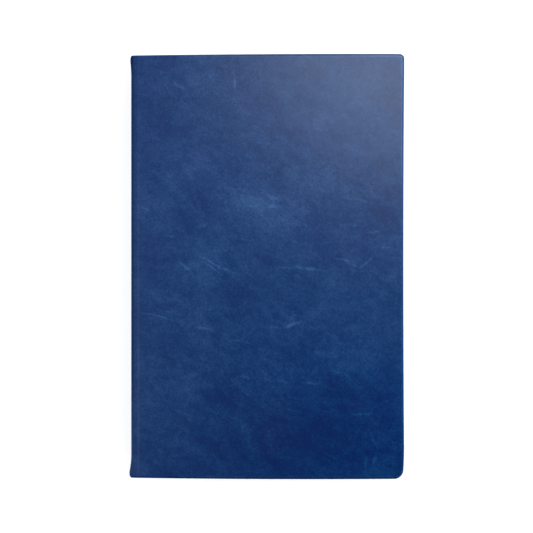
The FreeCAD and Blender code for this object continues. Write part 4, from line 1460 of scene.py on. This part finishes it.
class LOGBOOK_OT_stage(bpy.types.Operator):
    """Adds the floor, the lights and the camera"""

    bl_idname = "logbook.stage"
    bl_label = "Stage"

    def execute(self, context):
        stage = context.scene.logbook_stage
        floor = start_sheet("floor", (-6, -6, 0), (6, 6, 0))
        cut_along(0, 7)
        cut_along(1, 7)
        stop_editing()
        coat(floor, floor_finish("pale_floor", stage))
        aim, cool = (0.03, 0.05, 0.0), (0.93, 1.0, 0.99)
        add_light("key_panel", (0.0894, 0.15, 0.28), aim, (0.17, 0.17), stage.key_power, cool)
        add_light("soft_panel", (-0.33, 0.0, 0.49), aim, (0.384, 0.384), stage.soft_power, cool)
        for name, x, y, share in (
            ("left_panel", -1.2, -0.1, 0.6), ("right_panel", 1.2, -0.1, 1.6),
            ("tail_panel", 0.0, -1.2, 0.8), ("head_panel", 0.0, 1.2, 1.0),
        ):
            watts = stage.fill_power * share
            fill = add_light(name, (x, y, 0.36), (0, 0, 0.01), (1.0, 0.4), watts, (1.0, 1.0, 1.0))
            fill.visible_glossy = False
        make_world()
        camera = bpy.data.objects.new("camera", bpy.data.cameras.new("camera"))
        context.scene.collection.objects.link(camera)
        camera.location = (stage.view_centre[0], stage.view_centre[1], stage.camera_height)
        camera.data.sensor_width = 36
        distance = stage.camera_height - CAD_BOX[1].z
        camera.data.lens = camera.data.sensor_width * distance / stage.view_width
        context.scene.camera = camera
        context.scene.view_settings.view_transform = "Standard"
        return {"FINISHED"}


# ---- panel and registration ----


STEPS = ("case", "endpapers", "log_leaves", "sections", "headbands", "inner_parts", "stage")


class LOGBOOK_PT_panel(bpy.types.Panel):
    """Sizes and steps of the logbook"""

    bl_label = "Pilot logbook"
    bl_idname = "LOGBOOK_PT_panel"
    bl_space_type = "VIEW_3D"
    bl_region_type = "UI"
    bl_category = "Logbook"

    def draw(self, context):
        scene = context.scene
        for group in (scene.logbook_case, scene.logbook_paper, scene.logbook_band, scene.logbook_stage):
            box = self.layout.box()
            for name in group.bl_rna.properties.keys():
                if name not in ("rna_type", "name"):
                    box.prop(group, name)
        for step in STEPS:
            self.layout.operator(f"logbook.{step}")


GROUPS = {
    "logbook_case": LogbookCase, "logbook_paper": LogbookPaper,
    "logbook_band": LogbookBand, "logbook_stage": LogbookStage,
}
CLASSES = (
    *GROUPS.values(), LOGBOOK_OT_case, LOGBOOK_OT_endpapers, LOGBOOK_OT_log_leaves,
    LOGBOOK_OT_sections, LOGBOOK_OT_headbands, LOGBOOK_OT_inner_parts, LOGBOOK_OT_stage, LOGBOOK_PT_panel,
)


def register():
    for kind in CLASSES:
        bpy.utils.register_class(kind)
    for name, group in GROUPS.items():
        setattr(bpy.types.Scene, name, bpy.props.PointerProperty(type=group))


def unregister():
    for name in GROUPS:
        delattr(bpy.types.Scene, name)
    for kind in reversed(CLASSES):
        bpy.utils.unregister_class(kind)


def main():
    """Registers the add-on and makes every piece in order."""
    register()
    for step in STEPS:
        getattr(bpy.ops.logbook, step)()
    stop_editing()


if __name__ == "__main__":
    main()
